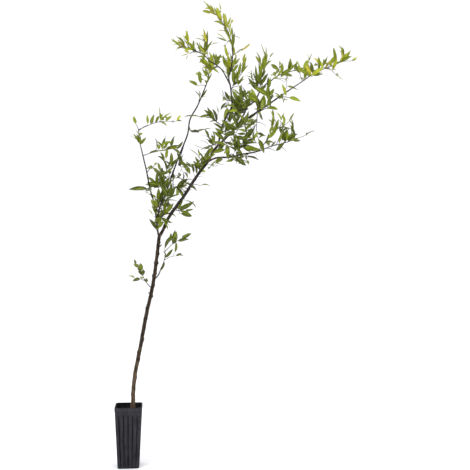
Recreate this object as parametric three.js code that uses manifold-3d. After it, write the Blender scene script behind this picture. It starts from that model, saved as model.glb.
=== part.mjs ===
// A young pomegranate tree, drawn up into one leaning stem with an open crown,
// standing in a deep square nursery pot.
//
// Millimetres, +Z up. The origin is the middle of the pot's flat underside, the pot's
// faces look along X and Y, and the stem leans towards +X.
//
// The pot and its fill are lofted from rounded squares. The trunk and each bough are one
// tapering limb, lofted along a smooth route. Each spray of foliage is one solid: a stem,
// its twigs, and leaves that a seeded rule sets in pairs along them, joined into one body
// and cut clear of the limbs.

import * as THREE from 'three';
import { mergeVertices } from 'three/addons/utils/BufferGeometryUtils.js';
import Module from 'manifold-3d';

const wasm = await Module();
wasm.setup();

// ---------------------------------------------------------------- driving dimensions

const POT = {
  height: 230,
  rimWidth: 103, // across the rim's flats
  neckWidth: 100, // below the rolled rim
  baseWidth: 81,
  rimDepth: 15, // height of the rolled rim
  neckDepth: 11, // smooth band under it
  wall: 2.4,
  floor: 3,
  corner: 11, // corner radius at the rim
  fluteCount: 5, // upright grooves on each face
  fluteDepth: 1.4,
  fluteWidth: 6.4,
  fluteSpread: 0.9, // the outermost lie this share of the way to a face's edges
  fluteFoot: 8, // smooth band under the grooves
  fluteRunout: 4, // over which they fade out at the top
  holeRadius: 5,
  holeOffset: 22, // drain holes, from the middle of the base
};
const FILL_TOP = 208; // level of the potting mix
const GAP = 0.3; // clearance between neighbouring pieces

const FLARE = { height: 42, extra: 6 }; // the stem's foot swells by this much

// Each limb: the limb it grows from with how far along, its radius at foot and tip, and
// the places that it passes.
const LIMBS = {
  trunk: {
    radius: [7.4, 6],
    sides: 10,
    route: [[15, 0, 196], [21, 0, 325], [42, 5, 440], [66, 5, 570], [90, 0, 680],
      [105, -5, 780], [115, -10, 870]],
  },
  main_bough: {
    from: ['trunk', 1], radius: [5.9, 4.8],
    route: [[130, -15, 895], [150, -25, 940], [180, -35, 985], [210, -40, 1025],
      [235, -45, 1065], [265, -50, 1110], [300, -50, 1155]],
  },
  left_bough: {
    from: ['trunk', 1], radius: [3.2, 1.8],
    route: [[113, -5, 890], [108, -5, 935], [95, -20, 1000], [80, -35, 1055],
      [70, -55, 1110], [55, -75, 1175]],
  },
  middle_bough: {
    from: ['left_bough', 0.32], radius: [3.2, 2],
    route: [[110, 10, 950], [120, 25, 990], [145, 40, 1050], [165, 50, 1110],
      [190, 65, 1180], [225, 75, 1270], [235, 80, 1330], [265, 80, 1385], [290, 80, 1445]],
  },
  leader_bough: {
    from: ['main_bough', 1], radius: [3.8, 2.4],
    route: [[320, -40, 1190], [340, -25, 1225], [350, -10, 1275], [365, 5, 1315],
      [380, 15, 1345], [395, 25, 1375], [395, 30, 1410], [390, 35, 1460]],
  },
  right_bough: {
    from: ['main_bough', 1], radius: [4.1, 1.7],
    route: [[320, -65, 1195], [350, -75, 1225], [380, -90, 1255], [400, -100, 1275],
      [420, -110, 1295], [445, -120, 1310], [475, -130, 1330], [515, -145, 1355],
      [550, -150, 1380], [595, -160, 1410]],
  },
  low_bough: {
    from: ['main_bough', 1], radius: [3, 1.7],
    route: [[335, -30, 1170], [385, -10, 1175], [440, 20, 1190], [485, 40, 1200],
      [515, 55, 1210]],
  },
  arm_bough: {
    from: ['leader_bough', 1], radius: [2.2, 1.8],
    route: [[360, 20, 1510], [335, -10, 1525], [305, -40, 1535]],
  },
  rising_bough: {
    from: ['right_bough', 0.42], radius: [2.6, 1.7],
    route: [[430, -90, 1325], [450, -55, 1365], [480, -20, 1390], [505, 10, 1435],
      [530, 35, 1465], [555, 55, 1485]],
  },
};
const LIMB_SIDES = 7;
const RING_STEP = 20; // between the rings of a limb or stem

// Each spray: the limb that carries it and how far along, the places that its stem passes,
// the number of leaves on the stem with the draw that sets them, the leaf length, and the
// twigs: where each leaves the stem, where it ends, its leaves and its draw.
const SPRAYS = {
  left_tip: {
    on: ['left_bough', 1], thick: 1.8, leaf: 38, leaves: 4, draw: 43,
    stem: [[45, -90, 1220], [40, -100, 1265], [30, -105, 1285]],
    twigs: [[0.62, [85, -125, 1280], 1, 42], [0.66, [180, -115, 1295], 8, 56],
      [0.3, [20, -60, 1240], 1, 75]],
  },
  left_high_spray: {
    on: ['left_bough', 0.99], leaf: 48, leaves: 4, draw: 51,
    stem: [[80, -70, 1180], [110, -55, 1190], [140, -45, 1195]],
    twigs: [[0.55, [115, -80, 1210], 3, 66], [0.8, [180, -75, 1195], 3, 101]],
  },
  left_mid_spray: {
    on: ['left_bough', 0.83], leaf: 40, leaves: 3, draw: 89,
    stem: [[85, -80, 1125], [100, -95, 1120], [115, -100, 1105]],
    twigs: [[0.45, [100, -70, 1135], 2, 102]],
  },
  left_low_spray: {
    on: ['left_bough', 0.67], leaf: 58, leaves: 3, draw: 60,
    stem: [[75, -50, 1050], [60, -65, 1050], [45, -80, 1055]],
    twigs: [[0.4, [70, -85, 1030], 3, 59]],
  },
  left_foot_spray: {
    on: ['left_bough', 0.37], leaf: 38, leaves: 4, draw: 76,
    stem: [[110, -25, 955], [115, -35, 980], [110, -40, 1000]],
    twigs: [[0.3, [135, -40, 925], 2, 29], [0.5, [95, -55, 985], 2, 103]],
  },
  middle_foot_spray: {
    on: ['middle_bough', 0.2], leaf: 44, leaves: 5, draw: 130,
    stem: [[120, 5, 990], [130, -5, 1025], [135, -10, 1055]],
    twigs: [[0.35, [155, -20, 1015], 3, 12], [0.5, [110, 10, 1020], 3, 65]],
  },
  middle_side_spray: {
    on: ['middle_bough', 0.47], leaf: 48, leaves: 4, draw: 7,
    stem: [[170, 35, 1060], [195, 25, 1065], [220, 15, 1065]],
    twigs: [[0.3, [205, 40, 1040], 3, 31], [0.65, [220, 45, 1095], 2, 86]],
  },
  middle_heart_spray: {
    on: ['middle_bough', 0.4], leaf: 44, leaves: 5, draw: 124,
    stem: [[135, 50, 1060], [125, 65, 1090], [120, 80, 1125]],
    twigs: [[0.35, [100, 75, 1075], 3, 98], [0.6, [155, 85, 1110], 3, 60]],
  },
  middle_left_spray: {
    on: ['middle_bough', 0.56], leaf: 42, leaves: 4, draw: 94,
    stem: [[150, 30, 1120], [140, 20, 1140], [135, 10, 1160]],
    twigs: [[0.4, [165, 10, 1145], 2, 101]],
  },
  middle_high_spray: {
    on: ['middle_bough', 0.63], leaf: 40, leaves: 4, draw: 73,
    stem: [[190, 40, 1150], [210, 30, 1155], [225, 15, 1140]],
    twigs: [[0.3, [205, 20, 1120], 3, 129], [0.42, [200, 65, 1180], 2, 116],
      [0.74, [225, 15, 1100], 2, 94]],
  },
  middle_bare_spray: {
    on: ['middle_bough', 0.73], leaf: 40, leaves: 4, draw: 42,
    stem: [[240, 60, 1280], [265, 45, 1280], [285, 35, 1285]],
    twigs: [[0.3, [260, 80, 1285], 2, 70]],
  },
  middle_bud_spray: {
    on: ['middle_bough', 0.91], leaf: 34, leaves: 3, draw: 30,
    stem: [[270, 60, 1405], [280, 50, 1410]],
  },
  middle_tip: {
    on: ['middle_bough', 1], thick: 2, leaf: 52, leaves: 9, draw: 29,
    stem: [[305, 80, 1485], [310, 85, 1515], [325, 90, 1540]],
    twigs: [[0.15, [265, 65, 1460], 2, 30], [0.45, [285, 105, 1510], 1, 1]],
  },
  fork_spray: {
    on: ['main_bough', 0.4], leaf: 46, leaves: 3, draw: 111,
    stem: [[185, -20, 970], [200, -5, 970], [215, 5, 965]],
    twigs: [[0.3, [195, 10, 960], 2, 89]],
  },
  elbow_spray: {
    on: ['main_bough', 0.88], leaf: 34, leaves: 5, draw: 26,
    stem: [[266, -70, 1125], [280, -80, 1150], [302, -86, 1178]],
    twigs: [[0.3, [238, -92, 1128], 2, 82], [0.6, [262, -95, 1168], 2, 50]],
  },
  main_spray: {
    on: ['main_bough', 0.69], leaf: 44, leaves: 2, draw: 97,
    stem: [[240, -70, 1065], [250, -85, 1065], [270, -100, 1060]],
  },
  leader_foot_spray: {
    on: ['leader_bough', 0.27], leaf: 40, leaves: 4, draw: 67,
    stem: [[320, -25, 1220], [310, -15, 1240], [305, -5, 1255]],
    twigs: [[0.2, [290, 0, 1205], 3, 81]],
  },
  leader_left_spray: {
    on: ['leader_bough', 0.44], leaf: 44, leaves: 6, draw: 27,
    stem: [[335, 0, 1310], [320, -10, 1330], [295, -20, 1335], [265, -25, 1325]],
    twigs: [[0.3, [340, -20, 1340], 2, 33]],
  },
  leader_right_spray: {
    on: ['leader_bough', 0.39], leaf: 44, leaves: 4, draw: 74,
    stem: [[360, -30, 1270], [375, -50, 1285], [385, -60, 1305]],
    twigs: [[0.4, [365, -55, 1245], 2, 26]],
  },
  leader_mid_spray: {
    on: ['leader_bough', 0.83], leaf: 44, leaves: 5, draw: 4,
    stem: [[380, 40, 1400], [370, 50, 1415], [360, 65, 1445]],
    twigs: [[0.4, [380, 65, 1385], 3, 76]],
  },
  leader_high_spray: {
    on: ['leader_bough', 0.94], leaf: 44, leaves: 6, draw: 68,
    stem: [[400, 25, 1455], [415, 10, 1475], [430, -10, 1495]],
    twigs: [[0.2, [420, 35, 1455], 2, 124], [0.6, [435, -10, 1540], 2, 106]],
  },
  leader_tip: {
    on: ['leader_bough', 1], thick: 2.4, leaf: 44, leaves: 26, draw: 49,
    stem: [[385, 40, 1490], [395, 40, 1535], [400, 40, 1580], [395, 30, 1620], [385, 25, 1650],
      [370, 15, 1675], [345, 0, 1710], [310, -10, 1740]],
    twigs: [[0.1, [375, 65, 1530], 3, 115], [0.2, [420, 15, 1545], 3, 98],
      [0.3, [370, 65, 1570], 2, 72], [0.36, [430, 30, 1590], 2, 71],
      [0.55, [370, 10, 1610], 2, 35], [0.7, [390, 30, 1695], 2, 130],
      [0.86, [350, 5, 1740], 2, 63]],
  },
  arm_tip: {
    on: ['arm_bough', 1], thick: 1.8, leaf: 40, leaves: 15, draw: 29,
    stem: [[285, -65, 1550], [255, -85, 1560], [230, -100, 1565], [200, -110, 1570],
      [185, -115, 1575]],
    twigs: [[0.05, [290, -70, 1600], 5, 8], [0.45, [230, -80, 1550], 1, 49],
      [0.62, [220, -115, 1595], 3, 35]],
  },
  arm_side_spray: {
    on: ['arm_bough', 0.63], leaf: 36, leaves: 6, draw: 43,
    stem: [[320, -10, 1510], [305, -25, 1510], [285, -35, 1525]],
    twigs: [[0.3, [330, 5, 1545], 4, 110]],
  },
  right_foot_spray: {
    on: ['right_bough', 0.23], leaf: 46, leaves: 4, draw: 37,
    stem: [[360, -95, 1220], [375, -115, 1220], [385, -125, 1230]],
    twigs: [[0.4, [370, -130, 1195], 2, 38]],
  },
  right_inner_spray: {
    on: ['right_bough', 0.42], leaf: 50, leaves: 4, draw: 61,
    stem: [[405, -130, 1270], [425, -150, 1275], [440, -165, 1285]],
    twigs: [[0.4, [395, -155, 1245], 2, 101]],
  },
  right_mid_spray: {
    on: ['right_bough', 0.66], leaf: 46, leaves: 5, draw: 14,
    stem: [[495, -155, 1335], [510, -170, 1340], [525, -180, 1340]],
    twigs: [[0.3, [475, -165, 1355], 2, 102]],
  },
  right_rise_spray: {
    on: ['right_bough', 0.78], leaf: 46, leaves: 5, draw: 113,
    stem: [[520, -130, 1375], [520, -120, 1395], [520, -120, 1420]],
    twigs: [[0.4, [540, -120, 1390], 2, 105]],
  },
  right_outer_spray: {
    on: ['right_bough', 0.91], leaf: 46, leaves: 5, draw: 37,
    stem: [[570, -175, 1380], [590, -185, 1375], [610, -190, 1375]],
    twigs: [[0.25, [565, -185, 1355], 2, 107]],
  },
  right_tip: {
    on: ['right_bough', 1], thick: 1.7, leaf: 40, leaves: 16, draw: 38,
    stem: [[640, -165, 1440], [675, -165, 1465], [715, -160, 1485], [750, -150, 1500],
      [795, -140, 1520], [835, -135, 1525]],
    twigs: [[0.16, [625, -150, 1485], 3, 44], [0.2, [660, -180, 1510], 4, 48],
      [0.28, [670, -195, 1450], 3, 78], [0.45, [700, -145, 1515], 3, 35],
      [0.6, [765, -170, 1460], 2, 105], [0.66, [762, -150, 1528], 1, 7],
      [0.85, [795, -150, 1540], 3, 107]],
  },
  rising_left_spray: {
    on: ['rising_bough', 0.5], leaf: 44, leaves: 9, draw: 7,
    stem: [[440, -20, 1385], [430, -10, 1405], [420, -5, 1435]],
    twigs: [[0.3, [415, 10, 1385], 3, 53], [0.5, [450, 15, 1425], 3, 16]],
  },
  rising_low_spray: {
    on: ['rising_bough', 0.35], leaf: 44, leaves: 5, draw: 109,
    stem: [[430, -90, 1345], [410, -100, 1340], [395, -105, 1350]],
    twigs: [[0.4, [415, -110, 1365], 3, 117]],
  },
  rising_upright_spray: {
    on: ['rising_bough', 0.72], leaf: 56, leaves: 12, draw: 16,
    stem: [[505, 30, 1470], [520, 40, 1510], [530, 45, 1540], [530, 50, 1570]],
    twigs: [[0.2, [475, 55, 1490], 5, 19], [0.5, [550, 70, 1575], 1, 58],
      [0.55, [495, 35, 1560], 3, 90]],
  },
  rising_front_spray: {
    on: ['rising_bough', 0.67], leaf: 46, leaves: 5, draw: 116,
    stem: [[490, -30, 1425], [480, -45, 1440], [465, -55, 1460]],
    twigs: [[0.4, [500, -60, 1445], 2, 18]],
  },
  rising_tip: {
    on: ['rising_bough', 1], thick: 1.7, leaf: 44, leaves: 9, draw: 13,
    stem: [[580, 70, 1505], [615, 80, 1520], [650, 85, 1530], [685, 80, 1525]],
    twigs: [[0.1, [605, 35, 1475], 3, 71], [0.3, [590, 90, 1550], 3, 94],
      [0.5, [620, 95, 1470], 2, 25]],
  },
  hanging_spray: {
    on: ['rising_bough', 0.57], thick: 1.9, leaf: 48, leaves: 11, draw: 83,
    stem: [[490, -15, 1360], [490, -5, 1320], [490, 5, 1275], [500, 10, 1235]],
    twigs: [[0.6, [450, 5, 1265], 3, 31], [0.55, [530, 25, 1300], 2, 119],
      [0.85, [455, 30, 1230], 3, 11]],
  },
  low_foot_spray: {
    on: ['low_bough', 0.25], leaf: 46, leaves: 4, draw: 6,
    stem: [[315, -60, 1145], [320, -75, 1135], [335, -85, 1135]],
    twigs: [[0.3, [305, -80, 1130], 2, 3]],
  },
  low_inner_spray: {
    on: ['low_bough', 0.36], leaf: 46, leaves: 5, draw: 55,
    stem: [[390, -30, 1185], [405, -45, 1175], [425, -60, 1170]],
    twigs: [[0.5, [395, -65, 1160], 2, 18]],
  },
  low_mid_spray: {
    on: ['low_bough', 0.7], leaf: 44, leaves: 4, draw: 57,
    stem: [[450, 32, 1183], [470, 35, 1180], [490, 45, 1180]],
    twigs: [[0.45, [452, 54, 1160], 2, 73]],
  },
  low_rise_spray: {
    on: ['low_bough', 0.89], leaf: 46, leaves: 11, draw: 37,
    stem: [[525, 30, 1235], [540, 20, 1255], [560, 5, 1280], [590, -5, 1295], [615, -10, 1315]],
    twigs: [[0.45, [555, 20, 1320], 2, 81], [0.75, [580, -25, 1315], 2, 130]],
  },
  low_tip: {
    on: ['low_bough', 1], thick: 1.7, leaf: 44, leaves: 10, draw: 120,
    stem: [[550, 65, 1225], [585, 75, 1235], [620, 80, 1245], [660, 80, 1260], [700, 80, 1275]],
    twigs: [[0.1, [570, 45, 1205], 2, 55], [0.35, [600, 90, 1280], 2, 85],
      [0.65, [640, 65, 1300], 2, 81]],
  },
  trunk_left_spray: {
    on: ['trunk', 0.655], leaf: 24, leaves: 4, draw: 104,
    stem: [[72, -12, 690], [58, -25, 714], [47, -35, 742]],
    twigs: [[0.5, [24, -45, 714], 3, 52], [0.75, [26, -25, 768], 3, 44]],
  },
  trunk_right_spray: {
    on: ['trunk', 0.71], thick: 2.3, leaf: 40, leaves: 3, draw: 30,
    stem: [[112, -12, 724], [122, -22, 748], [136, -34, 787], [137, -45, 834]],
    twigs: [[0.72, [178, -60, 798], 2, 98], [0.9, [205, -50, 865], 5, 32],
      [0.97, [170, -70, 865], 3, 27]],
  },
  low_top_spray: {
    on: ['low_bough', 0.49], leaf: 48, leaves: 8, draw: 130,
    stem: [[420, -25, 1205], [435, -35, 1230], [445, -45, 1255]],
    twigs: [[0.3, [405, 0, 1220], 2, 68], [0.6, [465, -30, 1235], 2, 21]],
  },
  right_under_spray: {
    on: ['right_bough', 0.37], leaf: 46, leaves: 6, draw: 108,
    stem: [[395, -80, 1240], [415, -70, 1225], [435, -70, 1205]],
    twigs: [[0.4, [385, -65, 1210], 3, 61]],
  },
  leader_back_spray: {
    on: ['leader_bough', 0.67], leaf: 46, leaves: 6, draw: 116,
    stem: [[395, 30, 1360], [415, 40, 1380], [435, 50, 1410]],
    twigs: [[0.4, [430, 50, 1360], 3, 62]],
  },
  middle_low_spray: {
    on: ['middle_bough', 0.14], leaf: 42, leaves: 5, draw: 45,
    stem: [[120, 20, 940], [135, 30, 960], [150, 35, 990]],
    twigs: [[0.4, [125, 40, 995], 3, 97]],
  },
};

const FIRST_LEAF = { longStem: 0.12, stem: 0.2, twig: 0.3 }; // bare share of a shoot's foot
const LONG_STEM = 2; // a stem that passes more places than this is a long one
const PAIR_PLACE = [0.3, 0.8]; // where a pair sits in its stretch of the shoot
const TIP_SLACK = 0.04; // how far the last pair may stand back from the tip
const STEM_THICK = 1.5; // radius at a spray's foot, where it isn't a limb's tip
const TWIG_THICK = 1.1;
const TIP_THICK = 0.8;
const TWIG_BOW = 0.08; // how far a twig arches, as a share of its span
const FINE_STEPS = [0.2, 0.25, 0.16, 0.3]; // finest detail that joining leaves behind
const STEM_FATNESS = 1.35; // a three-sided stem is drawn this much fatter than the round one
const LEAF_RANGE = [0.9, 1.65]; // shortest and longest, as shares of the spray's leaf length
const TIP_SHORTER = 0.15; // how much shorter leaves are at the tip of a shoot
const TURN_SPREAD = 100; // degrees that a leaf strays round the shoot from its pair's place
const ROLL_SPREAD = 120; // degrees that faces roll about the leaf's own length
const BLADE = { widest: 0.42, midrib: 0.36 }; // where along a leaf it is widest and thickest
const LEAF_FOLD = 0.1; // how far its edges turn up, as a share of its width
const LEAF_DROOP = 0.06; // how far its tip hangs, as a share of its length
const LEAF_HALF_THICK = 0.7; // half a leaf's thickness at its midrib
const LEAF_FULLNESS = 1.12; // a four-sided blade is drawn wider than a leaf's own curve
const LEAF_SINK = 1.1; // how far a leaf's root starts behind the twig's axis
const LIGHT = new THREE.Vector3(0.25, -0.8, 0.7).normalize(); // where the leaves face
const LIMB_ROOM = 2; // a leaf keeps this clear of every limb
const SPRAY_ROOM = 3; // and keeps to its own side of the next spray by this much
const SKELETON_STEP = 8;

// How leaves are set: slimmest and widest as shares of a leaf's own length, degrees between
// a leaf and its shoot, along it and at its tip, and how much a leaf turns up.
const HABITS = {
  full: { slimness: [0.21, 0.3], along: [30, 74], tip: [10, 36], lift: 0.45 },
  close: { slimness: [0.17, 0.24], along: [12, 40], tip: [5, 24], lift: 0.4 },
  slender: { slimness: [0.12, 0.17], along: [12, 34], tip: [5, 22], lift: 0.6 },
  standing: { slimness: [0.22, 0.3], along: [48, 84], tip: [14, 44], lift: 0.75 },
  round: { slimness: [0.4, 0.52], along: [34, 78], tip: [14, 40], lift: 0.3 },
};
const SPRAY_HABITS = { // a spray that isn't named is full
  leader_tip: 'close', leader_high_spray: 'close', rising_upright_spray: 'slender',
  middle_bud_spray: 'close', arm_tip: 'close', rising_left_spray: 'close',
  right_tip: 'standing', rising_tip: 'standing', low_rise_spray: 'standing',
  low_tip: 'standing', left_tip: 'standing', left_high_spray: 'standing',
  right_outer_spray: 'standing', trunk_left_spray: 'round',
};

const COLOURS = {
  pot: { color: 0x2c2c2f, roughness: 0.55 },
  mix: { color: 0x3d2d20, roughness: 0.95 },
  bark: { color: 0x5a4936, roughness: 0.85 },
  shoot: { color: 0x40342b, roughness: 0.8 },
  leaf: { color: 0x64842a, roughness: 0.5 },
};

// ---------------------------------------------------------------- small tools

const vec = (p) => new THREE.Vector3(...p);
const lerp = THREE.MathUtils.lerp;
const radians = THREE.MathUtils.degToRad;

// Seeded draws between 0 and 1, the same every time for one seed.
function draws(seed) {
  let state = seed >>> 0;
  return () => {
    state = (state + 0x6d2b79f5) >>> 0;
    let t = Math.imul(state ^ (state >>> 15), state | 1);
    t ^= t + Math.imul(t ^ (t >>> 7), t | 61);
    return ((t ^ (t >>> 14)) >>> 0) / 4294967296;
  };
}

// A smooth route through its stations. at(f) is the place a fraction f of the way along,
// counted in stations, and seat(f) the same place on the straight runs between its rings.
function smoothRoute(stations) {
  const curve = new THREE.CatmullRomCurve3(stations.map((p) => p.clone()), false, 'catmullrom', 0.5);
  const at = (f) => curve.getPoint(Math.min(Math.max(f, 0), 1));
  const REACH = 0.01;
  const heading = (f) => at(f + REACH).sub(at(f - REACH)).normalize();
  const STEPS = 40;
  const samples = Array.from({ length: STEPS + 1 }, (_, i) => at(i / STEPS));
  const length = samples.slice(1).reduce((sum, p, i) => sum + p.distanceTo(samples[i]), 0);
  const chord = samples[STEPS].clone().sub(samples[0]).normalize();
  const across = Math.abs(chord.z) > 0.8 ? new THREE.Vector3(1, 0, 0) : new THREE.Vector3(0, 0, 1);
  const runs = Math.max(1, Math.ceil(length / RING_STEP));
  const seat = (f) => {
    const run = Math.min(Math.floor(f * runs), runs - 1);
    return at(run / runs).lerp(at((run + 1) / runs), f * runs - run);
  };
  return { at, seat, heading, length, runs, across };
}

// A solid lofted through rings that all hold the same number of points, with a fan on each
// end; rings run upwards and each turns anticlockwise seen from its far end.
function loft(rings) {
  const n = rings[0].length;
  const middle = (ring) => ring.reduce((sum, p) => sum.add(p), new THREE.Vector3()).divideScalar(n);
  const points = [...rings.flat(), middle(rings[0]), middle(rings[rings.length - 1])];
  const foot = rings.length * n;
  const faces = [];
  for (let i = 0; i < n; i++) {
    const j = (i + 1) % n;
    for (let k = 0; k < rings.length - 1; k++) {
      const a = k * n;
      const b = a + n;
      faces.push(a + i, a + j, b + j, a + i, b + j, b + i);
    }
    const top = (rings.length - 1) * n;
    faces.push(foot, j, i, foot + 1, top + i, top + j);
  }
  return closedGeometry(points, faces);
}

function closedGeometry(points, faces) {
  const geometry = new THREE.BufferGeometry();
  const flat = points.flatMap((p) => [p.x, p.y, p.z]);
  geometry.setAttribute('position', new THREE.Float32BufferAttribute(flat, 3));
  geometry.setIndex(faces);
  return geometry;
}

function solid(geometry) {
  const bare = geometry.clone();
  bare.deleteAttribute('normal');
  bare.deleteAttribute('uv');
  const merged = mergeVertices(bare, 1e-4);
  return new wasm.Manifold(new wasm.Mesh({
    numProp: 3,
    vertProperties: merged.attributes.position.array,
    triVerts: new Uint32Array(merged.index.array),
  }));
}

// The biggest single body of a solid, so that loose scraps and sealed hollows drop out.
function mainBody(shape) {
  const bodies = shape.decompose();
  return bodies.reduce((best, body) => (body.volume() > best.volume() ? body : best));
}

// True where a body touches itself along an edge, so that more than two faces share it.
function pinched(shape) {
  const { numProp, vertProperties, triVerts } = shape.getMesh();
  const DECIMALS = 3; // corners closer than this are one
  const corner = (v) => Array.from(
    vertProperties.subarray(v * numProp, v * numProp + 3), (c) => c.toFixed(DECIMALS),
  ).join();
  const uses = new Map();
  for (let t = 0; t < triVerts.length; t += 3) {
    const corners = [0, 1, 2].map((k) => corner(triVerts[t + k]));
    if (new Set(corners).size < 3) continue; // a sliver that closes up
    for (const k of [0, 1, 2]) {
      const edge = [corners[k], corners[(k + 1) % 3]].sort().join(' ');
      uses.set(edge, (uses.get(edge) ?? 0) + 1);
    }
  }
  return [...uses.values()].some((count) => count !== 2);
}

// One clean body out of joined pieces: details finer than a step are merged, with the next
// step taken where that leaves the body touching itself.
function cleanBody(shape) {
  const bodies = FINE_STEPS.map((step) => mainBody(shape.asOriginal().simplify(step)));
  return bodies.find((body) => !pinched(body)) ?? bodies[0];
}

function node(name, shape, finish) {
  const mesh = shape.getMesh();
  const geometry = new THREE.BufferGeometry();
  geometry.setAttribute('position', new THREE.Float32BufferAttribute(mesh.vertProperties, 3));
  geometry.setIndex(Array.from(mesh.triVerts));
  geometry.computeVertexNormals();
  const made = new THREE.Mesh(geometry, new THREE.MeshStandardMaterial(finish));
  made.name = name;
  return made;
}

// ---------------------------------------------------------------- pot and fill

const HOLE_SIDES = 12;
const CORNER_POINTS = 2; // on each rounded corner, between its faces' ends

// Stations across a face, from edge to edge (−1 to 1): three for each flute, of which the
// middle one is its bottom.
const FLUTED = (() => {
  const reach = POT.fluteWidth / (POT.neckWidth - 2 * POT.corner);
  const flutes = Array.from({ length: POT.fluteCount }, (_, i) => lerp(
    -POT.fluteSpread, POT.fluteSpread, i / (POT.fluteCount - 1),
  ));
  return [-1, ...flutes.flatMap((s) => [s - reach, s, s + reach]), 1];
})();
const PLAIN = [-1, 1];

// A square with rounded corners, width across its flats, at height z. Each face has a point
// at every station, and the bottom of each flute is pressed in by depth.
function squareRing(width, corner, z, stations = PLAIN, depth = 0) {
  const straight = width / 2 - corner;
  const face = stations.map((s, i) => new THREE.Vector3(
    width / 2 - (i % 3 === 2 ? depth : 0), s * straight, z,
  ));
  const bend = Array.from({ length: CORNER_POINTS }, (_, i) => {
    const a = ((i + 1) / (CORNER_POINTS + 1)) * (Math.PI / 2);
    return new THREE.Vector3(straight + corner * Math.cos(a), straight + corner * Math.sin(a), z);
  });
  const upright = new THREE.Vector3(0, 0, 1);
  return [0, 1, 2, 3].flatMap((side) => [...face, ...bend].map(
    (p) => p.clone().applyAxisAngle(upright, (side * Math.PI) / 2),
  ));
}

function potSolid() {
  const { height, rimDepth, neckDepth, rimWidth, neckWidth, baseWidth, corner, wall, floor } = POT;
  const { fluteDepth, fluteFoot, fluteRunout, holeRadius, holeOffset } = POT;
  const fluteTop = height - rimDepth - neckDepth;
  const baseCorner = corner * (baseWidth / neckWidth);
  const EDGE = 1; // softened edges
  const RIM_SLOPE = 1.5; // height over which the rim steps out
  const widthAt = (z) => lerp(baseWidth, neckWidth, z / fluteTop);
  const ribbed = (width, bend, z, depth = 0) => squareRing(width, bend, z, FLUTED, depth);
  const outside = solid(loft([
    ribbed(baseWidth - 2 * EDGE, baseCorner - EDGE, 0),
    ribbed(baseWidth, baseCorner, EDGE),
    ribbed(widthAt(fluteFoot), baseCorner, fluteFoot, fluteDepth),
    ribbed(widthAt(fluteTop - fluteRunout), corner, fluteTop - fluteRunout, fluteDepth),
    ribbed(neckWidth, corner, fluteTop),
  ]));
  const rim = solid(loft([
    squareRing(neckWidth, corner, fluteTop),
    squareRing(neckWidth, corner, height - rimDepth),
    squareRing(rimWidth, corner, height - rimDepth + RIM_SLOPE),
    squareRing(rimWidth, corner, height - EDGE),
    squareRing(rimWidth - 2 * EDGE, corner - EDGE, height),
  ]));
  const inside = solid(loft([
    squareRing(baseWidth - 2 * wall, baseCorner - wall, floor),
    squareRing(neckWidth - 2 * wall, corner - wall, height - rimDepth),
    squareRing(neckWidth - 2 * wall, corner - wall, height + 1),
  ]));
  let pot = outside.add(rim).subtract(inside);
  for (const [sx, sy] of [[1, 1], [1, -1], [-1, 1], [-1, -1]]) {
    const hole = new THREE.CylinderGeometry(holeRadius, holeRadius, 4 * floor, HOLE_SIDES);
    hole.rotateX(Math.PI / 2).translate(sx * holeOffset, sy * holeOffset, 0);
    pot = pot.subtract(solid(hole));
  }
  return pot;
}

function fillSolid() {
  const { height, rimDepth, neckWidth, baseWidth, corner, wall, floor } = POT;
  const baseCorner = corner * (baseWidth / neckWidth);
  const inset = wall + GAP;
  const width = (z) => lerp(baseWidth, neckWidth, (z - floor) / (height - rimDepth - floor)) - 2 * inset;
  const bottom = floor + GAP;
  return solid(loft([
    squareRing(width(bottom), baseCorner - inset, bottom),
    squareRing(width(FILL_TOP), corner - inset, FILL_TOP),
  ]));
}

// ---------------------------------------------------------------- limbs

// A round limb with `sides` flats whose radius at f is radiusAt(f); room fattens it by a
// clearance all round and on its ends.
function limbSolid(route, radiusAt, sides, room = 0) {
  const flat = Math.cos(Math.PI / sides);
  const made = [];
  for (let k = 0; k <= route.runs; k++) {
    const f = k / route.runs;
    const heading = route.heading(f);
    const side = heading.clone().cross(route.across).normalize();
    const up = side.clone().cross(heading);
    const radius = radiusAt(f) + room / flat;
    const middle = route.at(f);
    if (k === 0) middle.addScaledVector(heading, -room);
    if (k === route.runs) middle.addScaledVector(heading, room);
    made.push(Array.from({ length: sides }, (_, i) => {
      const a = (2 * Math.PI * i) / sides;
      return middle.clone()
        .addScaledVector(side, -radius * Math.cos(a))
        .addScaledVector(up, radius * Math.sin(a));
    }));
  }
  return solid(loft(made));
}

// What the flat cut under the trunk takes away: all below the mix's level.
function belowCut() {
  const block = new THREE.BoxGeometry(POT.neckWidth, POT.neckWidth, FILL_TOP);
  return solid(block.translate(0, 0, FILL_TOP / 2 + GAP));
}

// Routes and solids of every limb, each cut clear of the limbs made before it.
function growLimbs() {
  const limbs = {};
  for (const [name, limb] of Object.entries(LIMBS)) {
    const stations = limb.route.map(vec);
    if (limb.from) stations.unshift(limbs[limb.from[0]].route.at(limb.from[1]));
    const route = smoothRoute(stations);
    const [foot, tip] = limb.radius;
    const flare = (f) => {
      const left = Math.max(0, 1 - (f * route.length) / FLARE.height);
      return limb.from ? 0 : FLARE.extra * left ** 2;
    };
    const radiusAt = (f) => lerp(foot, tip, f) + flare(f);
    const sides = limb.sides ?? LIMB_SIDES;
    const whole = limbSolid(route, radiusAt, sides);
    const roomy = limbSolid(route, radiusAt, sides, GAP);
    const above = limb.from ? whole : whole.subtract(belowCut());
    const shape = Object.values(limbs).reduce((left, other) => left.subtract(other.roomy), above);
    limbs[name] = { route, radiusAt, roomy, shape: mainBody(shape) };
  }
  return limbs;
}

// ---------------------------------------------------------------- foliage

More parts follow.
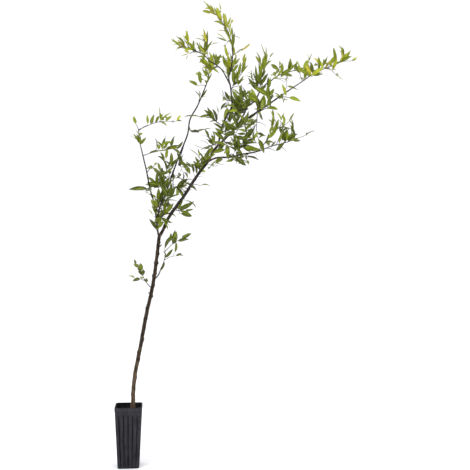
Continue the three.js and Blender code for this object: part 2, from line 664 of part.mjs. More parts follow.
// Every stem and twig with its route, thickness, leaves and draw.
function layOutShoots(limbs) {
  const shoots = [];
  for (const [spray, plan] of Object.entries(SPRAYS)) {
    const foot = limbs[plan.on[0]].route.at(plan.on[1]);
    const stem = smoothRoute([foot, ...plan.stem.map(vec)]);
    const thick = plan.thick ?? STEM_THICK;
    const start = plan.stem.length > LONG_STEM ? FIRST_LEAF.longStem : FIRST_LEAF.stem;
    shoots.push({
      spray, route: stem, thick, leaf: plan.leaf, leaves: plan.leaves, draw: plan.draw, start,
    });
    for (const [at, end, leaves, draw] of plan.twigs ?? []) {
      const root = stem.seat(at);
      const tip = vec(end);
      const bow = root.clone().add(tip).divideScalar(2);
      bow.z += TWIG_BOW * root.distanceTo(tip);
      const route = smoothRoute([root, bow, tip]);
      shoots.push({
        spray, route, thick: TWIG_THICK, leaf: plan.leaf, leaves, draw, start: FIRST_LEAF.twig,
      });
    }
  }
  return shoots;
}

// Leaves in pairs along a shoot, each pair turned a quarter from the last, the last pair at
// its tip. Each leaf has its root, heading, the way its face looks, length and width.
function leavesOf({ spray, route, leaves, leaf, draw, start }) {
  const { slimness, along: openAlong, tip: openAtTip, lift } = HABITS[SPRAY_HABITS[spray] ?? 'full'];
  const next = draws(draw);
  const pairs = Math.ceil(leaves / 2);
  return Array.from({ length: leaves }, (_, i) => {
    const pair = Math.floor(i / 2);
    const last = pair === pairs - 1;
    const spot = next();
    const share = last ? 1 - TIP_SLACK * spot : (pair + lerp(...PAIR_PLACE, spot)) / pairs;
    const f = lerp(start, 1, share);
    const turn = radians(90 * pair + 180 * (i % 2) + (next() - 0.5) * TURN_SPREAD);
    const opening = radians(lerp(...(last ? openAtTip : openAlong), next()));
    const length = leaf * lerp(...LEAF_RANGE, next()) * (1 - TIP_SHORTER * f);
    const roll = radians((next() - 0.5) * ROLL_SPREAD);
    const width = length * lerp(...slimness, next());
    const along = route.heading(f);
    const side = along.clone().cross(route.across).normalize();
    const up = side.clone().cross(along);
    const heading = along.clone().multiplyScalar(Math.cos(opening))
      .addScaledVector(side, Math.sin(opening) * Math.cos(turn))
      .addScaledVector(up, Math.sin(opening) * Math.sin(turn));
    heading.z += lift;
    heading.normalize();
    const face = LIGHT.clone().addScaledVector(heading, -LIGHT.dot(heading)).normalize();
    const edge = face.clone().cross(heading);
    const normal = face.multiplyScalar(Math.cos(roll)).addScaledVector(edge, Math.sin(roll));
    return { root: route.seat(f), heading, normal, length, width };
  });
}

// Places along every shoot and limb, that a leaf is measured against.
function skeletonOf(shoots) {
  return shoots.map(({ spray, route }) => {
    const count = Math.max(2, Math.floor(route.length / SKELETON_STEP) + 1);
    return { spray, points: Array.from({ length: count }, (_, i) => route.at(i / (count - 1))) };
  });
}

function limbSkeleton(limbs) {
  return Object.values(limbs).flatMap(({ route, radiusAt }) => {
    const count = Math.floor(route.length / SKELETON_STEP) + 1;
    return Array.from({ length: count }, (_, i) => {
      const f = i / (count - 1);
      return { point: route.at(f), radius: radiusAt(f) };
    });
  });
}

// Places on a leaf, as shares of its length and of half its width.
const LEAF_SPOTS = [
  [0.15, 0], [0.3, 1], [0.3, -1], [0.5, 1], [0.5, -1], [0.7, 0.8], [0.7, -0.8], [0.85, 0], [1, 0],
];

// A leaf is kept if its edges and tip lie nearer its own spray than any other, and clear of
// the limbs.
function fits(leaf, spray, skeleton, limbPoints) {
  const side = leaf.normal.clone().cross(leaf.heading).multiplyScalar(leaf.width / 2);
  return LEAF_SPOTS.every(([along, across], i) => {
    const p = leaf.root.clone()
      .addScaledVector(leaf.heading, along * leaf.length)
      .addScaledVector(side, across);
    let own = Infinity;
    let other = Infinity;
    for (const part of skeleton) {
      for (const q of part.points) {
        const d = p.distanceTo(q);
        if (part.spray === spray) own = Math.min(own, d);
        else other = Math.min(other, d);
      }
    }
    const clear = i === 0 || limbPoints.every(
      ({ point, radius }) => p.distanceTo(point) - radius > LIMB_ROOM,
    );
    return own <= other - SPRAY_ROOM && clear;
  });
}

// A blade of eight faces: its outline has a root, a tip and two edges, and its midrib stands
// proud on both faces. The edges are turned up a little and the tip hangs.
function leafSolid({ root, heading, normal, length, width }) {
  const side = normal.clone().cross(heading);
  const place = (along, across, rise) => root.clone()
    .addScaledVector(heading, along * length - LEAF_SINK)
    .addScaledVector(side, (across * width * LEAF_FULLNESS) / 2)
    .addScaledVector(normal, rise);
  const fold = LEAF_FOLD * width;
  const points = [
    place(0, 0, 0), place(BLADE.widest, 1, fold), place(1, 0, -LEAF_DROOP * length),
    place(BLADE.widest, -1, fold),
    place(BLADE.midrib, 0, LEAF_HALF_THICK), place(BLADE.midrib, 0, -LEAF_HALF_THICK),
  ];
  const faces = [4, 1, 0, 4, 2, 1, 4, 3, 2, 4, 0, 3, 5, 0, 1, 5, 1, 2, 5, 2, 3, 5, 3, 0];
  return solid(closedGeometry(points, faces));
}

function growSprays(limbs) {
  const shoots = layOutShoots(limbs);
  const skeleton = skeletonOf(shoots);
  const limbPoints = limbSkeleton(limbs);
  return Object.keys(SPRAYS).map((spray) => {
    const parts = [];
    for (const shoot of shoots.filter((s) => s.spray === spray)) {
      const radiusAt = (f) => STEM_FATNESS * lerp(shoot.thick, TIP_THICK, f);
      parts.push(limbSolid(shoot.route, radiusAt, 3));
      for (const leaf of leavesOf(shoot)) {
        if (fits(leaf, spray, skeleton, limbPoints)) parts.push(leafSolid(leaf));
      }
    }
    const whole = wasm.Manifold.union(parts);
    const clear = Object.values(limbs).reduce((left, limb) => left.subtract(limb.roomy), whole);
    return [spray, cleanBody(clear)];
  });
}

// ---------------------------------------------------------------- the tree

const tree = new THREE.Group();
tree.add(node('pot', potSolid(), COLOURS.pot));
tree.add(node('potting_mix', fillSolid(), COLOURS.mix));
const limbs = growLimbs();
for (const [name, limb] of Object.entries(limbs)) {
  tree.add(node(name, limb.shape, name === 'trunk' ? COLOURS.bark : COLOURS.shoot));
}
for (const [name, shape] of growSprays(limbs)) tree.add(node(name, shape, COLOURS.leaf));

export default tree;
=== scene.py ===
"""A young pomegranate tree in a deep square nursery pot.

The tree's limbs, twigs and leaves are grown in millimetres by the same seeded rule as the
part's own solids, and carried on to finer twigs and more leaves. Each shape is worked out
with numpy as whole arrays and scaled to metres when its mesh is made.
"""

import math

import bpy
import numpy as np
from mathutils import Matrix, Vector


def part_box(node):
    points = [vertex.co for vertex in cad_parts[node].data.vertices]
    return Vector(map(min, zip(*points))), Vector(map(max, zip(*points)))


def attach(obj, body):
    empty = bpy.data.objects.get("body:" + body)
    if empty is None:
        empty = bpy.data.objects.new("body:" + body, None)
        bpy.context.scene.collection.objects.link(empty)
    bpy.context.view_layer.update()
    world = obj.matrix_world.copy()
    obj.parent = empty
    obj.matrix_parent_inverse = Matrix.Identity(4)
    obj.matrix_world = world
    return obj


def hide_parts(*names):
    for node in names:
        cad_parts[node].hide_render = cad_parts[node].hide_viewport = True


bl_info = {
    "name": "Potted Pomegranate Tree",
    "version": (1, 0, 0),
    "blender": (4, 5, 0),
    "location": "View3D > Sidebar > Pomegranate",
    "description": "Builds a young pomegranate tree, its nursery pot and a plain studio",
    "category": "Add Mesh",
}

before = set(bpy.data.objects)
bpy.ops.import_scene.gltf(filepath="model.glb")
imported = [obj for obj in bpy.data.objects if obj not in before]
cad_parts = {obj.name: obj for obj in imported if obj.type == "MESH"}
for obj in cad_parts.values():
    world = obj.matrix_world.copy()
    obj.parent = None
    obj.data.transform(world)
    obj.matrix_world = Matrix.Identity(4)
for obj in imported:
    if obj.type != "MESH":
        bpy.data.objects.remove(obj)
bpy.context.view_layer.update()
POT_LOW, POT_HIGH = (np.array(corner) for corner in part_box("pot"))
MIX_HIGH = np.array(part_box("potting_mix")[1])
MM = 0.001

# ------------------------------------------------------------------ what the tree is made of

# Each limb: the limb it grows from and how far along, its radius at foot and tip, and the
# places that it passes.
LIMBS = {
    "trunk": (None, 0, (7.4, 6.0),
        [[15, 0, 196], [21, 0, 325], [42, 5, 440], [66, 5, 570], [90, 0, 680],
         [105, -5, 780], [115, -10, 870]]),
    "main_bough": ("trunk", 1, (5.9, 4.8),
        [[130, -15, 895], [150, -25, 940], [180, -35, 985], [210, -40, 1025],
         [235, -45, 1065], [265, -50, 1110], [300, -50, 1155]]),
    "left_bough": ("trunk", 1, (3.2, 1.8),
        [[110, -5, 890], [105, -5, 935], [95, -20, 1000], [80, -35, 1055],
         [70, -55, 1110], [55, -75, 1175]]),
    "middle_bough": ("left_bough", 0.32, (3.2, 2.0),
        [[110, 10, 950], [120, 25, 990], [145, 40, 1050], [165, 50, 1110],
         [190, 65, 1180], [225, 75, 1270], [235, 80, 1330], [265, 80, 1385], [290, 80, 1445]]),
    "leader_bough": ("main_bough", 1, (3.8, 2.4),
        [[320, -40, 1190], [340, -25, 1225], [350, -10, 1275], [365, 5, 1315],
         [380, 15, 1345], [395, 25, 1375], [395, 30, 1410], [390, 35, 1460]]),
    "right_bough": ("main_bough", 1, (4.1, 2.0),
        [[320, -65, 1195], [350, -75, 1225], [380, -90, 1255], [400, -100, 1275],
         [420, -110, 1295], [445, -120, 1310], [475, -130, 1330], [515, -145, 1355],
         [550, -150, 1380], [595, -160, 1410]]),
    "low_bough": ("main_bough", 1, (3.2, 2.0),
        [[335, -30, 1170], [385, -10, 1175], [440, 20, 1190], [485, 40, 1200],
         [515, 55, 1210]]),
    "arm_bough": ("leader_bough", 1, (2.2, 1.8),
        [[360, 20, 1510], [335, -10, 1525], [305, -40, 1535]]),
    "rising_bough": ("right_bough", 0.42, (2.8, 1.9),
        [[430, -90, 1325], [450, -55, 1365], [480, -20, 1390], [505, 10, 1435],
         [530, 35, 1465], [555, 55, 1485]]),
}

# Each spray: the limb that carries it and how far along, its leaf length, the radius of its
# foot, the leaves on its stem with the draw that sets them, the places that the stem passes,
# and the twigs: where each leaves the stem, where it ends, its leaves and its draw.
SPRAYS = {
    "left_tip": ("left_bough", 1, 38, 1.8, 4, 43,
        [[45, -90, 1220], [40, -100, 1265], [30, -105, 1285]],
        [[0.62, [85, -125, 1280], 1, 42], [0.66, [180, -115, 1295], 8, 56],
         [0.3, [20, -60, 1240], 1, 75]]),
    "left_high_spray": ("left_bough", 0.99, 48, 1.5, 4, 51,
        [[80, -70, 1180], [110, -55, 1190], [140, -45, 1195]],
        [[0.55, [115, -80, 1210], 3, 66], [0.8, [180, -75, 1195], 3, 101]]),
    "left_mid_spray": ("left_bough", 0.83, 40, 1.5, 3, 89,
        [[85, -80, 1125], [100, -95, 1120], [115, -100, 1105]],
        [[0.45, [100, -70, 1135], 2, 102]]),
    "left_low_spray": ("left_bough", 0.67, 58, 1.5, 3, 60,
        [[75, -50, 1050], [60, -65, 1050], [45, -80, 1055]],
        [[0.4, [70, -85, 1030], 3, 59]]),
    "left_foot_spray": ("left_bough", 0.37, 38, 1.5, 4, 76,
        [[110, -25, 955], [115, -35, 980], [110, -40, 1000]],
        [[0.3, [135, -40, 925], 2, 29], [0.5, [95, -55, 985], 2, 103]]),
    "middle_foot_spray": ("middle_bough", 0.2, 44, 1.5, 5, 130,
        [[120, 5, 990], [130, -5, 1025], [135, -10, 1055]],
        [[0.35, [155, -20, 1015], 3, 12], [0.5, [110, 10, 1020], 3, 65]]),
    "middle_side_spray": ("middle_bough", 0.47, 48, 1.5, 4, 7,
        [[170, 35, 1060], [195, 25, 1065], [220, 15, 1065]],
        [[0.3, [205, 40, 1040], 3, 31], [0.65, [220, 45, 1095], 2, 86]]),
    "middle_heart_spray": ("middle_bough", 0.4, 44, 1.5, 5, 124,
        [[135, 50, 1060], [125, 65, 1090], [120, 80, 1125]],
        [[0.35, [100, 75, 1075], 3, 98], [0.6, [155, 85, 1110], 3, 60]]),
    "middle_left_spray": ("middle_bough", 0.56, 42, 1.5, 4, 94,
        [[150, 30, 1120], [140, 20, 1140], [135, 10, 1160]],
        [[0.4, [165, 10, 1145], 2, 101]]),
    "middle_high_spray": ("middle_bough", 0.63, 40, 1.5, 4, 73,
        [[190, 40, 1150], [210, 30, 1155], [225, 15, 1140]],
        [[0.3, [205, 20, 1120], 3, 129], [0.42, [200, 65, 1180], 2, 116],
         [0.74, [225, 15, 1100], 2, 94]]),
    "middle_bare_spray": ("middle_bough", 0.73, 40, 1.5, 4, 42,
        [[240, 60, 1280], [265, 45, 1280], [285, 35, 1285]],
        [[0.3, [260, 80, 1285], 2, 70]]),
    "middle_bud_spray": ("middle_bough", 0.91, 34, 1.5, 3, 30,
        [[270, 60, 1405], [280, 50, 1410]],
        []),
    "middle_tip": ("middle_bough", 1, 52, 2, 9, 29,
        [[305, 80, 1485], [310, 85, 1515], [325, 90, 1540]],
        [[0.15, [265, 65, 1460], 2, 30], [0.45, [285, 105, 1510], 1, 1]]),
    "fork_spray": ("main_bough", 0.4, 46, 1.5, 3, 111,
        [[185, -20, 970], [200, -5, 970], [215, 5, 965]],
        [[0.3, [195, 10, 960], 2, 89]]),
    "elbow_spray": ("main_bough", 0.88, 34, 1.5, 5, 26,
        [[266, -70, 1125], [280, -80, 1150], [302, -86, 1178]],
        [[0.3, [238, -92, 1128], 2, 82], [0.6, [262, -95, 1168], 2, 50]]),
    "main_spray": ("main_bough", 0.69, 44, 1.5, 2, 97,
        [[240, -70, 1065], [250, -85, 1065], [270, -100, 1060]],
        []),
    "leader_foot_spray": ("leader_bough", 0.27, 40, 1.5, 4, 67,
        [[320, -25, 1220], [310, -15, 1240], [305, -5, 1255]],
        [[0.2, [290, 0, 1205], 3, 81]]),
    "leader_left_spray": ("leader_bough", 0.44, 44, 1.5, 6, 27,
        [[335, 0, 1310], [320, -10, 1330], [295, -20, 1335], [265, -25, 1325]],
        [[0.3, [340, -20, 1340], 2, 33]]),
    "leader_right_spray": ("leader_bough", 0.39, 44, 1.5, 4, 74,
        [[360, -30, 1270], [375, -50, 1285], [385, -60, 1305]],
        [[0.4, [365, -55, 1245], 2, 26]]),
    "leader_mid_spray": ("leader_bough", 0.83, 44, 1.5, 5, 4,
        [[380, 40, 1400], [370, 50, 1415], [360, 65, 1445]],
        [[0.4, [380, 65, 1385], 3, 76]]),
    "leader_high_spray": ("leader_bough", 0.94, 44, 1.5, 6, 68,
        [[400, 25, 1455], [415, 10, 1475], [430, -10, 1495]],
        [[0.2, [420, 35, 1455], 2, 124], [0.6, [435, -10, 1540], 2, 106]]),
    "leader_tip": ("leader_bough", 1, 44, 2.4, 26, 49,
        [[385, 40, 1490], [395, 40, 1535], [400, 40, 1580], [395, 30, 1620], [385, 25, 1650],
         [370, 15, 1675], [345, 0, 1710], [310, -10, 1740]],
        [[0.1, [375, 65, 1530], 3, 115], [0.2, [420, 15, 1545], 3, 98],
         [0.3, [370, 65, 1570], 2, 72], [0.36, [430, 30, 1590], 2, 71],
         [0.55, [370, 10, 1610], 2, 35], [0.7, [390, 30, 1695], 2, 130],
         [0.86, [350, 5, 1740], 2, 63]]),
    "arm_tip": ("arm_bough", 1, 40, 1.8, 15, 29,
        [[285, -65, 1550], [255, -85, 1560], [230, -100, 1565], [200, -110, 1570],
         [185, -115, 1575]],
        [[0.05, [290, -70, 1600], 5, 8], [0.45, [230, -80, 1550], 1, 49],
         [0.62, [220, -115, 1595], 3, 35]]),
    "arm_side_spray": ("arm_bough", 0.63, 36, 1.5, 6, 43,
        [[320, -10, 1510], [305, -25, 1510], [285, -35, 1525]],
        [[0.3, [330, 5, 1545], 4, 110]]),
    "right_foot_spray": ("right_bough", 0.23, 46, 1.5, 4, 37,
        [[360, -95, 1220], [375, -115, 1220], [385, -125, 1230]],
        [[0.4, [370, -130, 1195], 2, 38]]),
    "right_inner_spray": ("right_bough", 0.42, 50, 1.5, 4, 61,
        [[405, -130, 1270], [425, -150, 1275], [440, -165, 1285]],
        [[0.4, [395, -155, 1245], 2, 101]]),
    "right_mid_spray": ("right_bough", 0.66, 46, 1.5, 5, 14,
        [[495, -155, 1335], [510, -170, 1340], [525, -180, 1340]],
        [[0.3, [475, -165, 1355], 2, 102]]),
    "right_rise_spray": ("right_bough", 0.78, 46, 1.5, 5, 113,
        [[520, -130, 1375], [520, -120, 1395], [520, -120, 1420]],
        [[0.4, [540, -120, 1390], 2, 105]]),
    "right_outer_spray": ("right_bough", 0.91, 46, 1.5, 5, 37,
        [[570, -175, 1380], [590, -185, 1375], [610, -190, 1375]],
        [[0.25, [565, -185, 1355], 2, 107]]),
    "right_tip": ("right_bough", 1, 40, 1.7, 16, 38,
        [[640, -165, 1440], [675, -165, 1465], [715, -160, 1485], [750, -150, 1500],
         [795, -140, 1520], [835, -135, 1525]],
        [[0.16, [625, -150, 1485], 3, 44], [0.2, [660, -180, 1510], 4, 48],
         [0.28, [670, -195, 1450], 3, 78], [0.45, [700, -145, 1515], 3, 35],
         [0.6, [765, -170, 1460], 2, 105], [0.66, [762, -150, 1528], 1, 7],
         [0.85, [795, -150, 1540], 3, 107]]),
    "rising_left_spray": ("rising_bough", 0.5, 44, 1.5, 9, 7,
        [[440, -20, 1385], [430, -10, 1405], [420, -5, 1435]],
        [[0.3, [415, 10, 1385], 3, 53], [0.5, [450, 15, 1425], 3, 16]]),
    "rising_low_spray": ("rising_bough", 0.35, 44, 1.5, 5, 109,
        [[430, -90, 1345], [410, -100, 1340], [395, -105, 1350]],
        [[0.4, [415, -110, 1365], 3, 117]]),
    "rising_upright_spray": ("rising_bough", 0.72, 56, 1.5, 12, 16,
        [[505, 30, 1470], [520, 40, 1510], [530, 45, 1540], [530, 50, 1570]],
        [[0.2, [475, 55, 1490], 5, 19], [0.5, [550, 70, 1575], 1, 58],
         [0.55, [495, 35, 1560], 3, 90]]),
    "rising_front_spray": ("rising_bough", 0.67, 46, 1.5, 5, 116,
        [[490, -30, 1425], [480, -45, 1440], [465, -55, 1460]],
        [[0.4, [500, -60, 1445], 2, 18]]),
    "rising_tip": ("rising_bough", 1, 44, 1.7, 9, 13,
        [[580, 70, 1505], [615, 80, 1520], [650, 85, 1530], [685, 80, 1525]],
        [[0.1, [605, 35, 1475], 3, 71], [0.3, [590, 90, 1550], 3, 94],
         [0.5, [620, 95, 1470], 2, 25]]),
    "hanging_spray": ("rising_bough", 0.57, 48, 1.9, 11, 83,
        [[490, -15, 1360], [490, -5, 1320], [490, 5, 1275], [500, 10, 1235]],
        [[0.6, [450, 5, 1265], 3, 31], [0.55, [530, 25, 1300], 2, 119],
         [0.85, [455, 30, 1230], 3, 11]]),
    "low_foot_spray": ("low_bough", 0.25, 46, 1.5, 4, 6,
        [[315, -60, 1145], [320, -75, 1135], [335, -85, 1135]],
        [[0.3, [305, -80, 1130], 2, 3]]),
    "low_inner_spray": ("low_bough", 0.36, 46, 1.5, 5, 55,
        [[390, -30, 1185], [405, -45, 1175], [425, -60, 1170]],
        [[0.5, [395, -65, 1160], 2, 18]]),
    "low_mid_spray": ("low_bough", 0.7, 44, 1.5, 4, 57,
        [[450, 32, 1183], [470, 35, 1180], [490, 45, 1180]],
        [[0.45, [452, 54, 1160], 2, 73]]),
    "low_rise_spray": ("low_bough", 0.89, 46, 1.5, 11, 37,
        [[525, 30, 1235], [540, 20, 1255], [560, 5, 1280], [590, -5, 1295], [615, -10, 1315]],
        [[0.45, [555, 20, 1320], 2, 81], [0.75, [580, -25, 1315], 2, 130]]),
    "low_tip": ("low_bough", 1, 44, 1.7, 10, 120,
        [[550, 65, 1225], [585, 75, 1235], [620, 80, 1245], [660, 80, 1260], [700, 80, 1275]],
        [[0.1, [570, 45, 1205], 2, 55], [0.35, [600, 90, 1280], 2, 85],
         [0.65, [640, 65, 1300], 2, 81]]),
    "trunk_left_spray": ("trunk", 0.655, 24, 1.5, 4, 104,
        [[72, -12, 690], [58, -25, 714], [47, -35, 742]],
        [[0.5, [24, -45, 714], 3, 52], [0.75, [26, -25, 768], 3, 44]]),
    "trunk_right_spray": ("trunk", 0.71, 40, 2.3, 3, 30,
        [[112, -12, 724], [122, -22, 748], [136, -34, 787], [137, -45, 834]],
        [[0.72, [178, -60, 798], 2, 98], [0.9, [205, -50, 865], 5, 32],
         [0.97, [170, -70, 865], 3, 27]]),
    "low_top_spray": ("low_bough", 0.49, 48, 1.5, 8, 130,
        [[420, -25, 1205], [435, -35, 1230], [445, -45, 1255]],
        [[0.3, [405, 0, 1220], 2, 68], [0.6, [465, -30, 1235], 2, 21]]),
    "right_under_spray": ("right_bough", 0.37, 46, 1.5, 6, 108,
        [[395, -80, 1240], [415, -70, 1225], [435, -70, 1205]],
        [[0.4, [385, -65, 1210], 3, 61]]),
    "leader_back_spray": ("leader_bough", 0.67, 46, 1.5, 6, 116,
        [[395, 30, 1360], [415, 40, 1380], [435, 50, 1410]],
        [[0.4, [430, 50, 1360], 3, 62]]),
    "middle_low_spray": ("middle_bough", 0.14, 42, 1.5, 5, 45,
        [[120, 20, 940], [135, 30, 960], [150, 35, 990]],
        [[0.4, [125, 40, 995], 3, 97]]),
}

# Which tints of leaf a spray bears, and their shares; a spray that isn't named has PLAIN.
PLAIN = {"deep": 0.34, "mid": 0.42, "fresh": 0.24}
# SHADED gives more deep green to sprays inside the crown, low on it and at its back: painted
# shade
SHADED = {"deep": 0.54, "mid": 0.36, "fresh": 0.1}
BRIGHT = {"mid": 0.35, "fresh": 0.5, "lime": 0.15}
YOUNG = {"mid": 0.2, "fresh": 0.35, "lime": 0.42, "bronze": 0.03}
RIPE = {"mid": 0.27, "fresh": 0.32, "lime": 0.26, "gold": 0.15}
TURNING = {"mid": 0.23, "fresh": 0.3, "lime": 0.31, "gold": 0.13, "bronze": 0.03}
SPRAY_TINTS = {
    "leader_tip": TURNING, "arm_tip": TURNING, "arm_side_spray": YOUNG,
    "right_tip": RIPE, "rising_tip": BRIGHT, "rising_upright_spray": BRIGHT,
    "leader_high_spray": BRIGHT, "right_outer_spray": BRIGHT, "middle_tip": BRIGHT,
    "low_rise_spray": BRIGHT, "left_tip": BRIGHT, "trunk_left_spray": SHADED,
    "trunk_right_spray": SHADED, "middle_heart_spray": SHADED, "left_foot_spray": SHADED,
    "left_mid_spray": SHADED, "left_low_spray": SHADED, "middle_low_spray": SHADED,
    "leader_back_spray": SHADED,
}
# How leaves are set: slimmest and widest as shares of a leaf's own length, degrees between
# a leaf and its shoot, along it and at its tip, and how much a leaf turns up.
HABITS = {
    "full": ((0.21, 0.3), (30, 74), (10, 36), 0.45),
    "close": ((0.17, 0.24), (12, 40), (5, 24), 0.4),
    "slender": ((0.12, 0.17), (12, 34), (5, 22), 0.6),
    "standing": ((0.22, 0.3), (48, 84), (14, 44), 0.75),
    "round": ((0.4, 0.52), (34, 78), (14, 40), 0.3),
}
SPRAY_HABITS = {  # a spray that isn't named is full
    "leader_tip": "close", "leader_high_spray": "close", "rising_upright_spray": "slender",
    "middle_bud_spray": "close", "arm_tip": "close", "rising_left_spray": "close",
    "right_tip": "standing", "rising_tip": "standing", "low_rise_spray": "standing",
    "low_tip": "standing", "left_tip": "standing", "left_high_spray": "standing",
    "right_outer_spray": "standing", "trunk_left_spray": "round",
}
# How many fine spurs a spray bears, as a multiple; a spray that isn't named has 1.
SPUR_SHARES = {
    "middle_foot_spray": 2.2, "middle_side_spray": 2.0, "middle_heart_spray": 2.2,
    "middle_left_spray": 1.6, "middle_high_spray": 1.4, "middle_low_spray": 2.0,
    "left_foot_spray": 1.8, "fork_spray": 1.4, "elbow_spray": 2.0,
    "main_spray": 1.6, "leader_foot_spray": 2.0, "leader_left_spray": 0.8,
    "leader_right_spray": 2.0, "leader_back_spray": 1.6, "leader_mid_spray": 1.6,
    "right_foot_spray": 2.0, "right_inner_spray": 1.5, "right_under_spray": 1.8,
    "low_foot_spray": 2.0, "low_inner_spray": 1.8, "low_top_spray": 1.6,
    "low_mid_spray": 1.2, "rising_low_spray": 1.3,
    "rising_front_spray": 0.5, "rising_left_spray": 0.6, "right_rise_spray": 0.5,
    "left_tip": 0.7, "left_high_spray": 0.9, "left_low_spray": 0.3, "right_tip": 0.5,
    "rising_tip": 0.5, "rising_upright_spray": 0.2, "middle_tip": 0.4,
    "leader_tip": 0.45, "low_tip": 0.9, "low_rise_spray": 0.4, "trunk_left_spray": 0.2,
    "trunk_right_spray": 0.5, "right_outer_spray": 0.8, "middle_bare_spray": 0.3,
}
# Spurs on the older wood: the limb, where they start and end along it, and how many.
SPUR_RUNS = [
    ("main_bough", 0.26, 0.5, 9), ("main_bough", 0.78, 1.0, 24),
    ("leader_bough", 0.05, 0.95, 26),
    ("middle_bough", 0.03, 0.5, 22), ("left_bough", 0.02, 0.4, 14),
    ("right_bough", 0.03, 0.5, 16), ("low_bough", 0.05, 0.9, 18),
    ("rising_bough", 0.1, 0.95, 12), ("arm_bough", 0.1, 0.9, 5),
]
TINTS = {  # upper face and underside of each tint
    "deep": ("#3f4c08", "#5a662a"),
    "mid": ("#5f6d0e", "#788236"),
    "fresh": ("#7b8718", "#8d973e"),
    "lime": ("#9aa021", "#a6a946"),
    "gold": ("#aca22f", "#b0a74c"),
    "bronze": ("#7a5224", "#8a6a3a"),
}

# ------------------------------------------------------------------ growth, in millimetres

UP = np.array([0.0, 0.0, 1.0])
LIGHT = np.array([0.25, -0.8, 0.7]) / math.dist((0, 0, 0), (0.25, -0.8, 0.7))
LEAF_RANGE = (0.9, 1.65)  # shortest and longest, as shares of the spray's leaf length
TIP_SHORTER = 0.15  # how much shorter leaves are at the tip of a shoot
TURN_SPREAD = 100  # degrees that a leaf strays round the shoot from its pair's place
ROLL_SPREAD = 120  # degrees that faces roll about the leaf's own length
TIP_PAIR = 0.04  # the last pair stands within this share of the shoot's end
TWIG_BOW, SPUR_BOW = 0.08, 0.06  # how far each arches, as a share of its span
BARE_STEM, BARE_SHORT_STEM, BARE_TWIG = 0.12, 0.2, 0.3  # share of a shoot before its leaves
STEM_TIP = 0.7  # radius at a stem's tip
TWIG_RADII, SPUR_RADII = (1.0, 0.5), (0.75, 0.45)  # at the foot and the tip of each
GOLDEN_ANGLE = 2.4  # radians from each spur or node to the next
SPUR_SEED, SPUR_SEED_STEP, RUN_SEED_STEP = 7919, 131, 104729  # primes, to keep draws apart
SPUR_REACH, LIMB_SPUR_REACH = (4, 20), (8, 26)  # shortest and longest
SPUR_OPENING = (30, 66)  # degrees between a spur and its shoot
SPUR_LIFT, SPUR_END = 0.2, 0.97  # how much a spur turns up, and the last place for one
LIMB_SPUR_LEAN = (0.5, 0.3)  # how much one on a limb leans along it, and up
LIMB_SPUR_ROOT = 0.6  # share of the limb's radius at which one starts
THORN_SHARE = 0.1  # of the spurs, those that bear no leaf
SPUR_LEAVES = 2.6  # a spur has one leaf, and up to this many more, rounded down
SPUR_LEAF_RANGE = (0.85, 1.45)  # shortest and longest, as LEAF_RANGE
SPUR_LEAF_START, SPUR_LEAF_TURN = 6.28, 2.2  # radians: the first stands anywhere, then a step
SPUR_LEAF_OPENING = 60  # degrees, at most
SPRAY_ROOM, LIMB_ROOM = 3, 2  # how clear a leaf is of the next spray's space and of a limb
LIMB_COAT, TWIG_COAT = 0.45, 0.25  # how far bark and rind stand out over the wood
COLLAR = 1.0  # how far the foot of a bough swells
SKELETON_STEP = 8  # between the places that a leaf is measured against
FLARE_HEIGHT, FLARE_EXTRA = 42, 6  # of the trunk's foot
HEADING_REACH = 0.01  # share of a route to each side of the place where it is measured
# Where a leaf is measured: share of its length, and share of half its width to one side.
LEAF_SPOTS = np.array([[0.15, 0], [0.3, 1], [0.3, -1], [0.5, 1], [0.5, -1], [0.7, 0.8],
                       [0.7, -0.8], [0.85, 0], [1, 0]])


def unit(v):
    """The vector, or each vector of an array, divided by its own length."""
    return v / np.linalg.norm(v, axis=-1, keepdims=True)


def mix(a, b, share):
    """The value a share of the way from a to b."""
    return a + (b - a) * share


def draws(seed):
    """Seeded draws from 0 to 1: a 32-bit counter takes fixed steps and each is scrambled."""
    mask = 0xFFFFFFFF
    state = seed & mask

    def draw():
        nonlocal state
        state = (state + 0x6D2B79F5) & mask
        t = ((state ^ state >> 15) * (state | 1)) & mask
        t ^= (t + ((t ^ t >> 7) * (t | 61) & mask)) & mask
        return (t ^ t >> 14) / (mask + 1)

    return draw


class Route:
    """A smooth route through stations: between each two, a cubic whose slope at a station is
    half the step from the station before it to the one after it."""

    def __init__(self, stations, radii=(1, 1), flare=0):
        self.stations = np.array(stations, float)
        first, last = self.stations[0], self.stations[-1]
        before = 2 * first - self.stations[1]
        after = 2 * last - self.stations[-2]
        self.knots = np.vstack([before, self.stations, after])
        self.across = np.eye(3)[0 if abs(unit(last - first)[2]) > 0.8 else 2]
        steps = np.diff(self.at(np.linspace(0, 1, 41)), axis=0)
        self.length = np.linalg.norm(steps, axis=1).sum()
        self.radii = radii
        self.flare = flare

    def at(self, f):
        """The place a share of the way along, or one for each share of an array."""
        spans = len(self.stations) - 1
        f = np.clip(np.asarray(f, float), 0, 1) * spans
        k = np.minimum(f.astype(int), spans - 1)
        t = (f - k)[..., None]
        a, b, c, d = (self.knots[k + i] for i in range(4))
        slope, end_slope = (c - a) / 2, (d - b) / 2
        return ((2 * b - 2 * c + slope + end_slope) * t**3
                + (3 * c - 3 * b - 2 * slope - end_slope) * t**2 + slope * t + b)

    def heading(self, f):
        """The direction from just before a place to just after it."""
        f = np.asarray(f, float)
        return unit(self.at(f + HEADING_REACH) - self.at(f - HEADING_REACH))

    def radius(self, f):
        """Changes evenly from foot to tip; a flare falls off as the square of what is left
        of its height."""
        swell = np.maximum(0, 1 - np.asarray(f) * self.length / FLARE_HEIGHT) ** 2
        return mix(*self.radii, np.asarray(f)) + self.flare * swell


